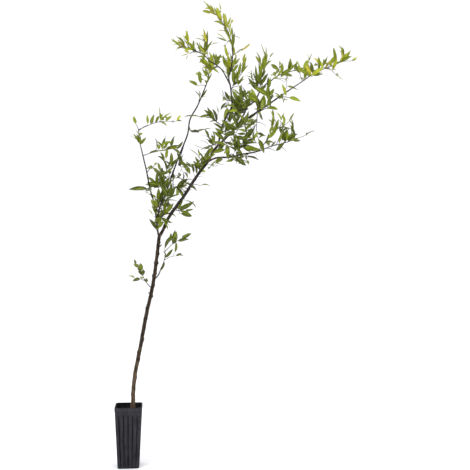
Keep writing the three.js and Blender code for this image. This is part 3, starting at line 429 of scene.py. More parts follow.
def grow_limbs():
    """The route of every limb, each from its place on the limb that bears it."""
    limbs = {}
    for name, (bearer, share, radii, places) in LIMBS.items():
        foot = [limbs[bearer].at(share)] if bearer else []
        limbs[name] = Route([*foot, *places], radii, 0 if bearer else FLARE_EXTRA)
    return limbs


def grow_shoots(limbs):
    """Every stem, then its twigs: each with its spray, route, leaves, leaf length and draw."""
    shoots = []
    for spray, (limb, share, leaf, thick, leaves, draw, places, twigs) in SPRAYS.items():
        stem = Route([limbs[limb].at(share), *places], (thick, STEM_TIP))
        start = BARE_STEM if len(places) > 2 else BARE_SHORT_STEM
        shoots.append((spray, stem, leaves, leaf, draw, start))
        for at, end, count, twig_draw in twigs:
            root, tip = stem.at(at), np.array(end, float)
            bow = (root + tip) / 2 + TWIG_BOW * math.dist(root, tip) * UP
            twig = Route([root, bow, tip], TWIG_RADII)
            shoots.append((spray, twig, count, leaf, twig_draw, BARE_TWIG))
    return shoots


def sideways(along, across, turn):
    """The direction square to along that is turned round it by turn from across."""
    side = unit(np.cross(along, across))
    return math.cos(turn) * side + math.sin(turn) * np.cross(side, along)


def set_leaf(root, along, across, turn, opening, lift, length, roll, width):
    """A leaf from its shoot's heading: opened away from it, turned round it, lifted a little,
    its face turned to the light and then rolled about its own length."""
    heading = unit(math.cos(opening) * along + lift * UP
                   + math.sin(opening) * sideways(along, across, turn))
    face = unit(LIGHT - heading * LIGHT.dot(heading))
    normal = math.cos(roll) * face + math.sin(roll) * np.cross(face, heading)
    return {"root": root, "heading": heading, "normal": normal, "length": length,
            "width": width}


def paired_leaves(shoot):
    """Leaves in pairs along a shoot, each pair a quarter turn on from the one before and the
    last pair at the tip."""
    spray, route, leaves, leaf, draw, start = shoot
    slim, along, at_tip, lift = HABITS[SPRAY_HABITS.get(spray, "full")]
    next_draw = draws(draw)
    pairs = math.ceil(leaves / 2)
    for i in range(leaves):
        pair, last = i // 2, i // 2 == pairs - 1
        spot = next_draw()
        f = mix(start, 1, 1 - TIP_PAIR * spot if last else (pair + 0.3 + 0.5 * spot) / pairs)
        turn = math.radians(90 * pair + 180 * (i % 2) + (next_draw() - 0.5) * TURN_SPREAD)
        opening = math.radians(mix(*(at_tip if last else along), next_draw()))
        length = leaf * mix(*LEAF_RANGE, next_draw()) * (1 - TIP_SHORTER * f)
        roll = math.radians((next_draw() - 0.5) * ROLL_SPREAD)
        width = length * mix(*slim, next_draw())
        made = set_leaf(route.at(f), route.heading(f), route.across, turn, opening, lift,
                        length, roll, width)
        yield {**made, "spray": spray, "age": f}


def grow_spur(root, heading, reach, leaf, habit, next_draw):
    """A fine spur with one to three leaves at its tip; now and then it is a bare thorn."""
    slim, _, at_tip, lift = HABITS[habit]
    tip = root + reach * heading
    spur = Route([root, (root + tip) / 2 + SPUR_BOW * reach * UP, tip], SPUR_RADII)
    bearing = []
    if next_draw() > THORN_SHARE:
        turned = SPUR_LEAF_START * next_draw()
        for k in range(1 + int(SPUR_LEAVES * next_draw())):
            length = leaf * mix(*SPUR_LEAF_RANGE, next_draw())
            opening = math.radians(mix(at_tip[0], SPUR_LEAF_OPENING, next_draw()))
            roll = math.radians((next_draw() - 0.5) * ROLL_SPREAD)
            bearing.append(set_leaf(tip, heading, spur.across, turned + SPUR_LEAF_TURN * k,
                                    opening, lift, length, roll,
                                    length * mix(*slim, next_draw())))
    return spur, bearing


def fine_spurs(shoot, fullness):
    """Spurs finer than the twigs, set round a shoot at the golden angle."""
    spray, route, leaves, leaf, draw, start = shoot
    habit = SPRAY_HABITS.get(spray, "full")
    next_draw = draws(SPUR_SEED + SPUR_SEED_STEP * draw + leaves)
    for i in range(round(leaves * fullness * SPUR_SHARES.get(spray, 1))):
        f = mix(start, SPUR_END, next_draw())
        along = route.heading(f)
        out = sideways(along, route.across, GOLDEN_ANGLE * i + next_draw())
        opening = math.radians(mix(*SPUR_OPENING, next_draw()))
        heading = unit(math.cos(opening) * along + SPUR_LIFT * UP + math.sin(opening) * out)
        reach = mix(*SPUR_REACH, next_draw() ** 1.5)
        spur, bearing = grow_spur(route.at(f), heading, reach, leaf, habit, next_draw)
        yield spur, [{**made, "spray": spray, "age": f} for made in bearing]


def limb_spurs(limbs, space, run, number):
    """Spurs on a stretch of older wood, set round the limb at the golden angle. Each bears
    the leaves of the spray whose space it stands in."""
    name, start, end, count = run
    route, next_draw = limbs[name], draws(RUN_SEED_STEP * number)
    for i in range(count):
        f = mix(start, end, (i + next_draw()) / count)
        along = route.heading(f)
        out = sideways(along, route.across, GOLDEN_ANGLE * i + next_draw())
        heading = unit(LIMB_SPUR_LEAN[0] * along + out + LIMB_SPUR_LEAN[1] * UP)
        root = route.at(f) + LIMB_SPUR_ROOT * route.radius(f) * out
        spray = space.owner(root)
        reach = mix(*LIMB_SPUR_REACH, next_draw())
        spur, bearing = grow_spur(root, heading, reach, SPRAYS[spray][2],
                                  SPRAY_HABITS.get(spray, "full"), next_draw)
        yield spur, [{**made, "spray": spray, "age": 0.5} for made in bearing]


class Space:
    """The places along every shoot and limb, that a leaf is measured against."""

    def __init__(self, limbs, shoots):
        places, owners, stems, radii = [], [], [], []
        for spray, route, *_ in shoots:
            count = max(2, int(route.length / SKELETON_STEP) + 1)
            places.append(route.at(np.linspace(0, 1, count)))
            owners += [spray] * count
        for route in limbs.values():
            f = np.linspace(0, 1, int(route.length / SKELETON_STEP) + 1)
            stems.append(route.at(f))
            radii.append(route.radius(f))
        self.places, self.owners = np.vstack(places), np.array(owners)
        self.stems, self.radii = np.vstack(stems), np.concatenate(radii)

    def owner(self, place):
        """The spray whose shoots are nearest a place."""
        return self.owners[np.linalg.norm(self.places - place, axis=1).argmin()]

    def holds(self, leaf):
        """True where nine places on a leaf's edges and midrib are nearer its own spray than
        any other, and all but the one by its root are clear of the limbs."""
        across = np.cross(leaf["normal"], leaf["heading"]) * leaf["width"] / 2
        spots = (leaf["root"] + LEAF_SPOTS[:, :1] * leaf["length"] * leaf["heading"]
                 + LEAF_SPOTS[:, 1:] * across)
        reach = np.linalg.norm(spots[:, None] - self.places, axis=2)
        own = self.owners == leaf["spray"]
        inside = (reach[:, own].min(1) <= reach[:, ~own].min(1) - SPRAY_ROOM).all()
        room = np.linalg.norm(spots[1:, None] - self.stems, axis=2) - self.radii
        return inside and (room > LIMB_ROOM).all()


def grow_tree(fullness):
    """Limbs, shoots with their fine spurs, and every leaf that keeps to its spray's space."""
    limbs = grow_limbs()
    shoots = grow_shoots(limbs)
    space = Space(limbs, shoots)
    leaves = [leaf for shoot in shoots for leaf in paired_leaves(shoot) if space.holds(leaf)]
    grown = [pair for shoot in shoots for pair in fine_spurs(shoot, fullness)]
    grown += [pair for number, run in enumerate(SPUR_RUNS, 1)
              for pair in limb_spurs(limbs, space, run, number)]
    spurs = []
    for spur, bearing in grown:
        kept = [leaf for leaf in bearing if space.holds(leaf)]
        if kept or not bearing:
            spurs.append(spur)
            leaves += kept
    return limbs, shoots, spurs, leaves


# ------------------------------------------------------------------ meshes


class Shapes:
    """Closed shapes gathered into one mesh: points, faces of three or four corners with the
    place of each corner on the surface (u, v), and a value at each point."""

    def __init__(self):
        self.points, self.values, self.count = [], [], 0
        self.faces, self.places, self.sides = [], [], []

    def add(self, points, faces, places, value=0.0, sides=0):
        """Each entry of faces is an array of like faces, each of places is their corners.
        value is one for all points or one for each, and sides, the number of the material
        that a face takes, is one for all faces or one for each."""
        self.points.append(points)
        self.values.append(np.broadcast_to(np.asarray(value, float), len(points)))
        self.faces += [face + self.count for face in faces]
        self.places += [place.reshape(-1, 2) for place in places]
        self.sides.append(np.broadcast_to(sides, sum(len(face) for face in faces)))
        self.count += len(points)

    def piece(self, name, materials, stands_for):
        """One object at the origin, smooth, with its surface places and its point values."""
        mesh = bpy.data.meshes.new(name)
        corners = np.concatenate([face.ravel() for face in self.faces])
        sizes = np.concatenate([np.full(len(f), f.shape[1]) for f in self.faces])
        mesh.vertices.add(self.count)
        mesh.vertices.foreach_set("co", (np.vstack(self.points) * MM).ravel())
        mesh.loops.add(len(corners))
        mesh.loops.foreach_set("vertex_index", corners)
        mesh.polygons.add(len(sizes))
        mesh.polygons.foreach_set("loop_start", np.cumsum(sizes) - sizes)
        mesh.polygons.foreach_set("material_index", np.concatenate(self.sides).astype(int))
        mesh.update(calc_edges=True)
        uv = mesh.uv_layers.new(name="surface")
        uv.uv.foreach_set("vector", np.concatenate(self.places).ravel())
        tone = mesh.attributes.new("tone", "FLOAT", "POINT")
        tone.data.foreach_set("value", np.concatenate(self.values))
        mesh.shade_smooth()
        for material in materials:
            mesh.materials.append(material)
        made = bpy.data.objects.new(name, mesh)
        bpy.context.scene.collection.objects.link(made)
        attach(made, "root")
        if stands_for:
            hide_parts(*stands_for)
        return made


def ring_faces(rings, sides, reach=1.0):
    """Faces of rings laid one after another and closed by a fan on each end, whose middles
    are the last two points. v runs from 0 to reach along them and u from 0 to 1 around."""
    i, j = (grid.ravel() for grid in np.meshgrid(np.arange(rings - 1), np.arange(sides),
                                                 indexing="ij"))
    after = (j + 1) % sides
    quads = np.stack([i * sides + j, i * sides + after, (i + 1) * sides + after,
                      (i + 1) * sides + j], axis=1)
    u = np.stack([j, j + 1, j + 1, j], axis=1) / sides
    v = np.stack([i, i, i + 1, i + 1], axis=1) * reach / (rings - 1)
    j = np.arange(sides)
    after = (j + 1) % sides
    foot = np.full(sides, rings * sides)
    top = (rings - 1) * sides
    fans = np.vstack([np.stack([foot, after, j], axis=1),
                      np.stack([foot + 1, top + j, top + after], axis=1)])
    fan_u = np.stack([j, j + 1, j], axis=1) / sides
    fan_v = np.zeros((sides, 3))
    fan_places = np.concatenate([np.stack([fan_u, fan_v], -1),
                                 np.stack([fan_u, fan_v + reach], -1)])
    return (quads, fans), (np.stack([u, v], axis=-1), fan_places)


def tube(route, radius, sides, rings):
    """Rings round a route: centre + radius × (cos a × one cross direction + sin a × the
    other), where radius is worked out from the share along, the angle and the distance.
    On its surface v is the distance along in centimetres."""
    f = np.linspace(0, 1, rings)
    middle, heading = route.at(f), route.heading(f)
    least = np.abs(heading).max(axis=0).argmin()
    one = unit(np.cross(heading, np.eye(3)[least]))
    other = np.cross(heading, one)
    a = 2 * np.pi * np.arange(sides) / sides
    r = np.broadcast_to(radius(f[:, None], a[None, :], f[:, None] * route.length),
                        (rings, sides))[..., None]
    ring = (middle[:, None] + r * (np.cos(a)[:, None] * one[:, None]
                                   + np.sin(a)[:, None] * other[:, None]))
    points = np.vstack([ring.reshape(-1, 3), middle[:1], middle[-1:]])
    faces, places = ring_faces(rings, sides, route.length / 10)
    return points, faces, places


def ripples(seed, count, turns, wave):
    """A function of angle and distance: a sum of sine waves with whole numbers of turns
    round the limb and lengths near wave along it, which stays within about -1 to 1."""
    rng = np.random.default_rng(seed)
    around = rng.integers(0, turns + 1, count)
    along = 2 * np.pi / (wave * rng.uniform(0.6, 1.8, count))
    phase = rng.uniform(0, 2 * np.pi, count)

    def height(a, s):
        total = sum(np.sin(n * a + k * s + p) for n, k, p in zip(around, along, phase))
        return total / math.sqrt(count)

    return height


def furrows(seed, count, width):
    """A function of angle and distance: -1 along the middle of cracks that wander up the
    bark and open and close as they go, and 0 between them."""
    rng = np.random.default_rng(seed)
    base = 2 * np.pi * (np.arange(count) + rng.uniform(-0.3, 0.3, count)) / count
    wander, wave, phase = (rng.uniform(*r, count) for r in ((0.08, 0.3), (35, 90), (0, 6.3)))

    def height(a, s):
        deepest = 0
        for b, w, k, p in zip(base, wander, wave, phase):
            off = (a - b - w * np.sin(s / k + p) + np.pi) % (2 * np.pi) - np.pi
            open_here = np.clip(0.5 + 0.8 * np.sin(s / (0.37 * k) + 2 * p), 0, 1)
            deepest = deepest + open_here * np.exp(-((off / width) ** 2))
        return -np.minimum(deepest, 1)

    return height


# ------------------------------------------------------------------ materials


def linear(colour):
    """An sRGB hex colour as the linear red, green, blue and alpha that shaders take."""
    parts = (int(colour[i:i + 2], 16) / 255 for i in (1, 3, 5))
    return (*(c / 12.92 if c <= 0.04045 else ((c + 0.055) / 1.055) ** 2.4 for c in parts), 1)


SMOOTH = {"interpolation_type": "SMOOTHSTEP"}
COLOURS = {"data_type": "RGBA"}  # a mix of colours takes its share at 0, and them at 6 and 7
SURFACE = {"uv_map": "surface"}
TONE = {"attribute_name": "tone"}
SURFACE_GRAIN = 1000  # mm, so that a pattern on surface places has the size they give it


def add(tree, kind, settings=None, inputs=None, out=0):
    """A node with its settings, and its inputs, by name or place, set to values or linked
    from outputs. Gives back one of its outputs."""
    made = tree.nodes.new("ShaderNode" + kind)
    for name, value in (settings or {}).items():
        setattr(made, name, value)
    for name, value in (inputs or {}).items():
        if isinstance(value, bpy.types.NodeSocket):
            tree.links.new(value, made.inputs[name])
        else:
            made.inputs[name].default_value = value
    return made.outputs[out]


def finish(name, colour, roughness, bump, bump_mm, **shader):
    """A material whose node tree is written by colour, roughness and bump: each is a function
    that adds nodes to a tree and gives back an output, or for the first two a value."""
    material = bpy.data.materials.new(name)
    material.use_nodes = True
    tree = material.node_tree
    surface = tree.nodes["Principled BSDF"]
    for socket, value in (("Base Color", colour), ("Roughness", roughness)):
        if callable(value):
            tree.links.new(value(tree), surface.inputs[socket])
        else:
            surface.inputs[socket].default_value = value
    for socket, value in shader.items():
        surface.inputs[socket.replace("_", " ").title().replace("Ior", "IOR")
                       ].default_value = value
    if bump:
        raised = add(tree, "Bump", inputs={"Height": bump(tree), "Distance": bump_mm * MM})
        tree.links.new(raised, surface.inputs["Normal"])
    return material


def blotches(tree, size_mm, where=None, detail=3.0, rough=0.55):
    """Cloudy blotches size_mm across, on the piece's own coordinates unless told where."""
    where = where or add(tree, "TexCoord", out="Object")
    return add(tree, "TexNoise", None, {"Vector": where, "Scale": 1 / (size_mm * MM),
                                        "Detail": detail, "Roughness": rough})


def patches(tree, size_mm, low, high, to_low=0.0, to_high=1.0, **kind):
    """Blotches sorted into patches: below low they are to_low, above high they are to_high,
    and between the two they change smoothly."""
    return add(tree, "MapRange", SMOOTH, {0: blotches(tree, size_mm, **kind), 1: low, 2: high,
                                          3: to_low, 4: to_high})


def along_surface(tree, across, along):
    """The piece's own surface places, stretched so that a pattern's blotches are a share
    across of a turn round the limb by along centimetres up it."""
    return add(tree, "Mapping", None, {"Vector": add(tree, "UVMap", SURFACE),
                                       "Scale": (1 / across, 1 / along, 1)})


def moulded_polypropylene(colour):
    """Injection-moulded black polypropylene: a dull satin skin that handling has rubbed grey
    where it stands out, in upright streaks, and finely pebbled by the mould. The flutes and the
    step under the rim are painted darker as shade, and the inside is darker."""
    def skin_and_painted_shade(tree):
        wear_and_shade_tone = add(tree, "Attribute", TONE, out="Fac")
        drawn = add(tree, "Mapping", None, {"Vector": add(tree, "TexCoord", out="Object"),
                                            "Scale": (1, 1, 0.035)})
        streak = patches(tree, 3.2, 0.3, 0.7, -0.22, 0.22, where=drawn, detail=4)
        smudge = patches(tree, 30, 0.3, 0.7, -0.1, 0.1, detail=4)
        # the point tone is rim wear and painted shade in the flutes and the step under the rim;
        # streaks and smudges add wear
        wear_and_painted_shade = add(tree, "Math", {"operation": "ADD"}, {0: wear_and_shade_tone, 1: streak})
        wear_and_painted_shade = add(tree, "Math", {"operation": "ADD", "use_clamp": True},
                      {0: wear_and_painted_shade, 1: smudge})
        speck = patches(tree, 2.2, 0.64, 0.74, 0, 0.25, detail=2)
        grey = add(tree, "Mix", COLOURS, {0: wear_and_painted_shade, 6: colour, 7: linear("#343438")}, 2)
        return add(tree, "Mix", COLOURS, {0: speck, 6: grey, 7: linear("#55524d")}, 2)
    return finish("moulded_polypropylene", skin_and_painted_shade,
                  lambda tree: patches(tree, 24, 0.35, 0.7, 0.5, 0.68),
                  lambda tree: blotches(tree, 0.9, detail=2), 0.12, ior=1.49,
                  specular_ior_level=0.07)


def composted_bark_mix():
    """Potting mix of peat and composted bark: matt, crumbly and nearly black where damp."""
    def crumb(tree):
        lump = patches(tree, 5, 0.4, 0.66, detail=6)
        fibre = patches(tree, 1.4, 0.55, 0.7, 0, 0.6, detail=3)
        soil = add(tree, "Mix", COLOURS, {0: lump, 6: linear("#1f1610"), 7: linear("#4a3524")},
                   2)
        return add(tree, "Mix", COLOURS, {0: fibre, 6: soil, 7: linear("#6d5238")}, 2)
    return finish("composted_bark_mix", crumb, 0.95,
                  lambda tree: blotches(tree, 1.6, detail=5), 0.9, ior=1.4)


def pine_bark_chip():
    """Chipped pine bark: flat grey-brown flakes, reddish where freshly split."""
    def flake(tree):
        tone = add(tree, "Attribute", TONE, out="Fac")
        grain = patches(tree, 1.2, 0.35, 0.7, detail=4)
        dull, split = (add(tree, "Mix", COLOURS, {0: tone, 6: linear(old), 7: linear(fresh)}, 2)
                       for old, fresh in (("#2c2019", "#7c5c3d"), ("#4b3728", "#9c7a55")))
        return add(tree, "Mix", COLOURS, {0: grain, 6: dull, 7: split}, 2)
    return finish("pine_bark_chip", flake, 0.88, lambda tree: blotches(tree, 0.8), 0.3,
                  ior=1.45)


def pomegranate_bark(name, foot, top, crack, weathered, across, bump_mm, turn):
    """Bark of a young pomegranate stem: dull, shallowly furrowed along its length, paler on
    its ridges and grey-brown where weather has caught it. foot and top are each a pair of
    colours, for the hollows and the ridges; one gives way to the other in patches between
    the two distances of turn, in centimetres up the limb."""
    def coat(tree):
        grain = patches(tree, SURFACE_GRAIN, 0.36, 0.64, detail=6, rough=0.6,
                        where=along_surface(tree, across, 2.6))
        up = add(tree, "SeparateXYZ", None, {"Vector": add(tree, "UVMap", SURFACE)}, "Y")
        patchy = patches(tree, 15, 0.3, 0.7, -9, 9, detail=5)
        up = add(tree, "Math", {"operation": "ADD"}, {0: up, 1: patchy})
        high = add(tree, "MapRange", SMOOTH, {0: up, 1: turn[0], 2: turn[1]})
        hollow, ridge = (add(tree, "Mix", COLOURS, {0: high, 6: foot[i], 7: top[i]}, 2)
                         for i in (0, 1))
        bark = add(tree, "Mix", COLOURS, {0: grain, 6: hollow, 7: ridge}, 2)
        worn = patches(tree, 34, 0.5, 0.72, 0, 0.6, detail=4)
        bark = add(tree, "Mix", COLOURS, {0: worn, 6: bark, 7: weathered}, 2)
        deep = add(tree, "Attribute", TONE, out="Fac")
        return add(tree, "Mix", COLOURS, {0: deep, 6: bark, 7: crack}, 2)

    def fissures(tree):
        return blotches(tree, SURFACE_GRAIN, along_surface(tree, across * 0.6, 1.1), 6, 0.65)
    return finish(name, coat, lambda tree: patches(tree, 9, 0.3, 0.7, 0.62, 0.86), fissures,
                  bump_mm, ior=1.47, specular_ior_level=0.2)


def young_rind():
    """Rind of this year's twigs: smooth, angled and satin, grey-purple where it has ripened
    and green-brown at the growing end."""
    def coat(tree):
        ripe = add(tree, "Mix", COLOURS, {0: patches(tree, 11, 0.35, 0.68, detail=4),
                                          6: linear("#211a1b"), 7: linear("#4b4141")}, 2)
        young = add(tree, "MapRange", SMOOTH, {0: add(tree, "Attribute", TONE, out="Fac"),
                                               1: 0.5, 2: 1.1})
        return add(tree, "Mix", COLOURS, {0: young, 6: ripe, 7: linear("#746838")}, 2)
    return finish("young_rind", coat, 0.6, lambda tree: blotches(tree, 1.5), 0.1, ior=1.47,
                  specular_ior_level=0.25)


def shaded(colour, share):
    """A colour with its red, green and blue multiplied by a share, and no brighter than 1."""
    return (*(min(1, share * c) for c in colour[:3]), 1)


def leaf_skin(tint, side, colour):
    """A pomegranate leaf's skin: waxy and glossy above with a pale sunken midrib, duller and
    paler beneath. u runs round the blade and v from its root to its tip, in shares."""
    upper = side == "upper"
    midrib = 0.25 if upper else 0.75  # where u passes the midrib on this side
    pale = (*(mix(c, k, 0.45) for c, k in zip(colour[:3], linear("#c9cf86"))), 1)

    def blade(tree):
        place = add(tree, "UVMap", SURFACE)
        u, v = (add(tree, "SeparateXYZ", None, {"Vector": place}, axis) for axis in "XY")
        off = add(tree, "Math", {"operation": "SUBTRACT"}, {0: u, 1: midrib})
        off = add(tree, "Math", {"operation": "ABSOLUTE"}, {0: off})
        rib = add(tree, "MapRange", SMOOTH, {0: off, 1: 0.012, 2: 0.04,
                                             3: 0.62 if upper else 0.5, 4: 0})
        slant = add(tree, "Math", {"operation": "MULTIPLY_ADD"}, {0: off, 1: -1.1, 2: v})
        wave = add(tree, "Math", {"operation": "MULTIPLY"}, {0: slant, 1: 88.0})
        wave = add(tree, "Math", {"operation": "SINE"}, {0: wave})
        vein = add(tree, "MapRange", SMOOTH, {0: wave, 1: 0.75, 2: 1.0, 3: 0, 4: 0.16})
        body = add(tree, "Mix", COLOURS, {0: add(tree, "Attribute", TONE, out="Fac"),
                                          6: shaded(colour, 0.66), 7: shaded(colour, 1.26)}, 2)
        body = add(tree, "Mix", COLOURS, {0: patches(tree, 16, 0.35, 0.75, 0, 0.3),
                                          6: body, 7: shaded(colour, 0.7)}, 2)
        body = add(tree, "Mix", COLOURS, {0: vein, 6: body, 7: pale}, 2)
        return add(tree, "Mix", COLOURS, {0: rib, 6: body, 7: pale}, 2)
    return finish(f"leaf_{tint}_{side}", blade, 0.42 if upper else 0.6,
                  lambda tree: blotches(tree, 2.6, detail=2), 0.08, ior=1.46,
                  specular_ior_level=0.22 if upper else 0.14, specular_tint=linear("#f2ffc0"))


# ------------------------------------------------------------------ pot and fill

FLUTE_REACH = 3.2  # from the middle of a flute to its edges
NECK_CORNER, FOOT_CORNER = 11, 9.1  # radii of the pot's corners below the rim and at the foot
FOOT_ROLL, RIM_ROLL = 1.6, 2.2  # how high the foot's edge and the rim's edge round off
FLUTE_FOOT = 7  # height at which the flutes start
RIM_BAND, FLUTE_TOP = 15, 26  # how far below the rim its band ends, and the flutes
FLOOR = 3  # top of the pot's floor
FILL_CORNER = 8.5  # radius of the fill's corners
CHIP_LONG, CHIP_WIDE = (2.2, 6.5), (1.3, 3.4)  # least and most, from a flake's middle
CHIP_THICK = (0.6, 1.8)  # least and most


def pot_section(width, corner, height, groove=0.0, flutes=5, across=26, bend=7):
    """A square of the given width with corners of the given radius, anticlockwise seen from
    above. Each face is pressed in along its flutes by groove × cos² of the distance from the
    flute's middle; the last of each point's four numbers is that cos²."""
    half, straight = width / 2, width / 2 - corner
    s = np.linspace(-1, 1, across * 4 + 1) * straight
    middles = np.linspace(-0.9, 0.9, flutes) * straight
    off = np.abs(s[:, None] - middles).min(axis=1, initial=FLUTE_REACH)
    pressed = np.cos(np.minimum(off / FLUTE_REACH, 1) * np.pi / 2) ** 2 * (groove > 0)
    face = np.stack([half - groove * pressed, s], axis=1)
    a = np.linspace(0, np.pi / 2, bend + 2)[1:-1]
    arc = straight + corner * np.stack([np.cos(a), np.sin(a)], axis=1)
    side = np.vstack([face, arc])
    turned = [side @ np.array([[c, k], [-k, c]])
              for c, k in ((1, 0), (0, 1), (-1, 0), (0, -1))]
    flat = np.vstack(turned)
    return np.column_stack([flat, np.full(len(flat), height),
                            np.tile(np.append(pressed, np.zeros(bend)), 4)])


def pot_rings(pot):
    """Sections up the outside of the pot, over its rolled rim and down its inside, and a tone
    for each point, of wear and painted shade:
    highest on the rim, where handling rubs it grey, lower inside, and lowest in the flutes and
    in the step under the rim band, as painted shade."""
    height, rim, base = pot.height / MM, pot.rim_width / MM, pot.base_width / MM
    neck, wall, depth = pot.neck_width / MM, pot.wall / MM, pot.flute_depth / MM
    band_foot, flute_top = height - RIM_BAND, height - FLUTE_TOP
    rings = []  # of each: width, radius of its corners, height, depth of its flutes, and a tone of wear and painted shade
    for a in np.radians([0, 30, 60, 90]):
        rings.append((base - 2 * FOOT_ROLL + 2 * FOOT_ROLL * math.sin(a),
                      FOOT_CORNER - 1 + math.sin(a), FOOT_ROLL - FOOT_ROLL * math.cos(a),
                      0, 0.6))
    for t in np.linspace(0, 1, 30):
        fade = min(1, 9 * t, 14 * (1 - t))  # the flutes run out at both their ends
        rings.append((mix(base + 0.3, neck, t), mix(FOOT_CORNER, NECK_CORNER, t),
                      mix(FLUTE_FOOT, flute_top, t),
                      depth * math.sin(fade * np.pi / 2) ** 2, mix(0.62, 0.72, t)))
    rings += [(neck, NECK_CORNER, mix(flute_top, band_foot, t), 0, 0.78)
              for t in (0.25, 0.5, 0.75)]
    rings += [(neck + 0.2, NECK_CORNER, band_foot - 1.1, 0, 0.7),
              # the step under the rim band takes tone 0: painted shade in its groove
              (neck + 0.4, NECK_CORNER, band_foot, 0, 0),
              (rim - 0.5, NECK_CORNER, band_foot + 0.3, 0, 0.1),
              (rim, NECK_CORNER, band_foot + 1.3, 0, 0.9),
              (rim - 0.3, NECK_CORNER, mix(band_foot, height, 0.5), 0, 0.85),
              (rim, NECK_CORNER, height - RIM_ROLL, 0, 0.9)]
    for a in np.radians([20, 45, 70, 90]):
        inward = 1 - math.cos(a)
        rings.append((rim - 3.4 * inward, NECK_CORNER - 1.7 * inward,
                      height - RIM_ROLL + RIM_ROLL * math.sin(a), 0, 0.5))
    inner = neck - 2 * wall
    # inside the pot the tone is low, so the inside is darker
    rings += [(inner + 2, NECK_CORNER - wall + 1, height, 0, 0.4),
              (inner + 0.5, NECK_CORNER - wall, height - 0.7, 0, 0.2)]
    for t in np.linspace(0, 1, 8):
        rings.append((mix(inner, base - 2 * wall, t), mix(NECK_CORNER, FOOT_CORNER, t) - wall,
                      mix(height - 2.5, FLOOR + 0.6, t), 0, 0.2))
    rings.append((base - 2 * wall - 1.2, FOOT_CORNER - wall - 0.6, FLOOR, 0, 0.2))
    sections = [pot_section(w, c, z, g, pot.flutes) for w, c, z, g, _ in rings]
    # the tone falls to 0 in the middle of each flute: painted shade in the grooves
    wear_and_painted_shade = [ring[4] * (1 - section[:, 3] ** 0.6) for ring, section in zip(rings, sections)]
    return [section[:, :3] for section in sections], np.concatenate(wear_and_painted_shade)


def cut_drain_holes(shell, radius, offset):
    """Four round holes through the pot's floor."""
    for x in (-offset, offset):
        for y in (-offset, offset):
            bpy.ops.mesh.primitive_cylinder_add(vertices=28, radius=radius, depth=0.02,
                                                location=(x, y, 0))
            drill = bpy.context.object
            cut = shell.modifiers.new("drain", "BOOLEAN")
            cut.operation, cut.object, cut.solver = "DIFFERENCE", drill, "EXACT"
            bpy.context.view_layer.update()
            made = bpy.data.meshes.new_from_object(
                shell.evaluated_get(bpy.context.evaluated_depsgraph_get()))
            shell.modifiers.remove(cut)
            shell.data = made
            bpy.data.objects.remove(drill)


def mix_surface(width, level, seed=5):
    """Height of the fill: its level, lower by the walls, with low waves in both directions
    that add up to crumbs a few millimetres across."""
    rng = np.random.default_rng(seed)
    waves = [(rng.uniform(-1, 1, 2) * k, rng.uniform(0, 6.3), 0.9 / k**0.7)
             for k in np.repeat([0.09, 0.25, 0.6, 1.1], 5)]

    def height(x, y):
        lumps = sum(size * np.sin(x * k[0] + y * k[1] + p) for k, p, size in waves) * 0.22
        edge = np.maximum(np.abs(x), np.abs(y)) / (width / 2)
        return level + 0.5 * lumps - 1.6 * np.clip(edge, 0, 1) ** 6 - 0.8

    return height


def chips(height, width, count, seed=11):
    """Flat flakes of bark strewn on the fill: each a six-cornered slab with its corners
    pulled in and out at random, tipped a little and sunk by part of its thickness."""
    rng = np.random.default_rng(seed)
    shapes = []
    a = np.arange(6) * np.pi / 3
    for _ in range(count):
        x, y = rng.uniform(-0.5, 0.5, 2) * (width - 9)
        long, wide, thick = (rng.uniform(*r) for r in (CHIP_LONG, CHIP_WIDE, CHIP_THICK))
        pull = rng.uniform(0.7, 1.15, 6)
        rim = np.stack([long * pull * np.cos(a), wide * pull * np.sin(a), 0 * a], axis=1)
        rings = np.vstack([rim * 0.82 - [0, 0, thick / 2], rim, rim * 0.8 + [0, 0, thick / 2]])
        points = np.vstack([rings, [[0, 0, -thick / 2], [0, 0, thick / 2]]])
        turn, tip, roll = rng.uniform(0, 6.3), rng.normal(0, 0.22), rng.normal(0, 0.22)
        c, s = math.cos(turn), math.sin(turn)
        points[:, 2] += tip * points[:, 0] + roll * points[:, 1]
        points[:, :2] = points[:, :2] @ np.array([[c, s], [-s, c]])
        points += [x, y, float(height(x, y)) + 0.25 * thick]
        shapes.append((points, *ring_faces(3, 6), rng.uniform(0, 1)))
    return shapes


# ------------------------------------------------------------------ limbs, twigs and leaves

# Knots on the trunk where shoots were rubbed off: height, angle round the stem, size.
KNOTS = [(455, 3.1, 3.4), (607, 3.1, 3.5), (652, 3.0, 2.4), (700, 2.8, 2.3), (747, 0.1, 2.4),
         (747, 3.2, 3.1), (789, 2.7, 2.7), (842, 2.4, 2.6), (318, 2.9, 2.1), (262, 0.6, 1.8),
         (385, 3.9, 1.8), (520, 1.6, 1.8), (560, 0.4, 1.9), (690, 0.2, 2.1), (410, 0.1, 1.7)]


KNOT_REACH, ROOT_REACH = 5.5, 26  # how far along the trunk a knot and the root flare fade
NODE_REACH, COLLAR_REACH = 3.2, 12  # the same of a bough's nodes and the collar at its foot
ROOTS = 5  # low ridges that run into the mix
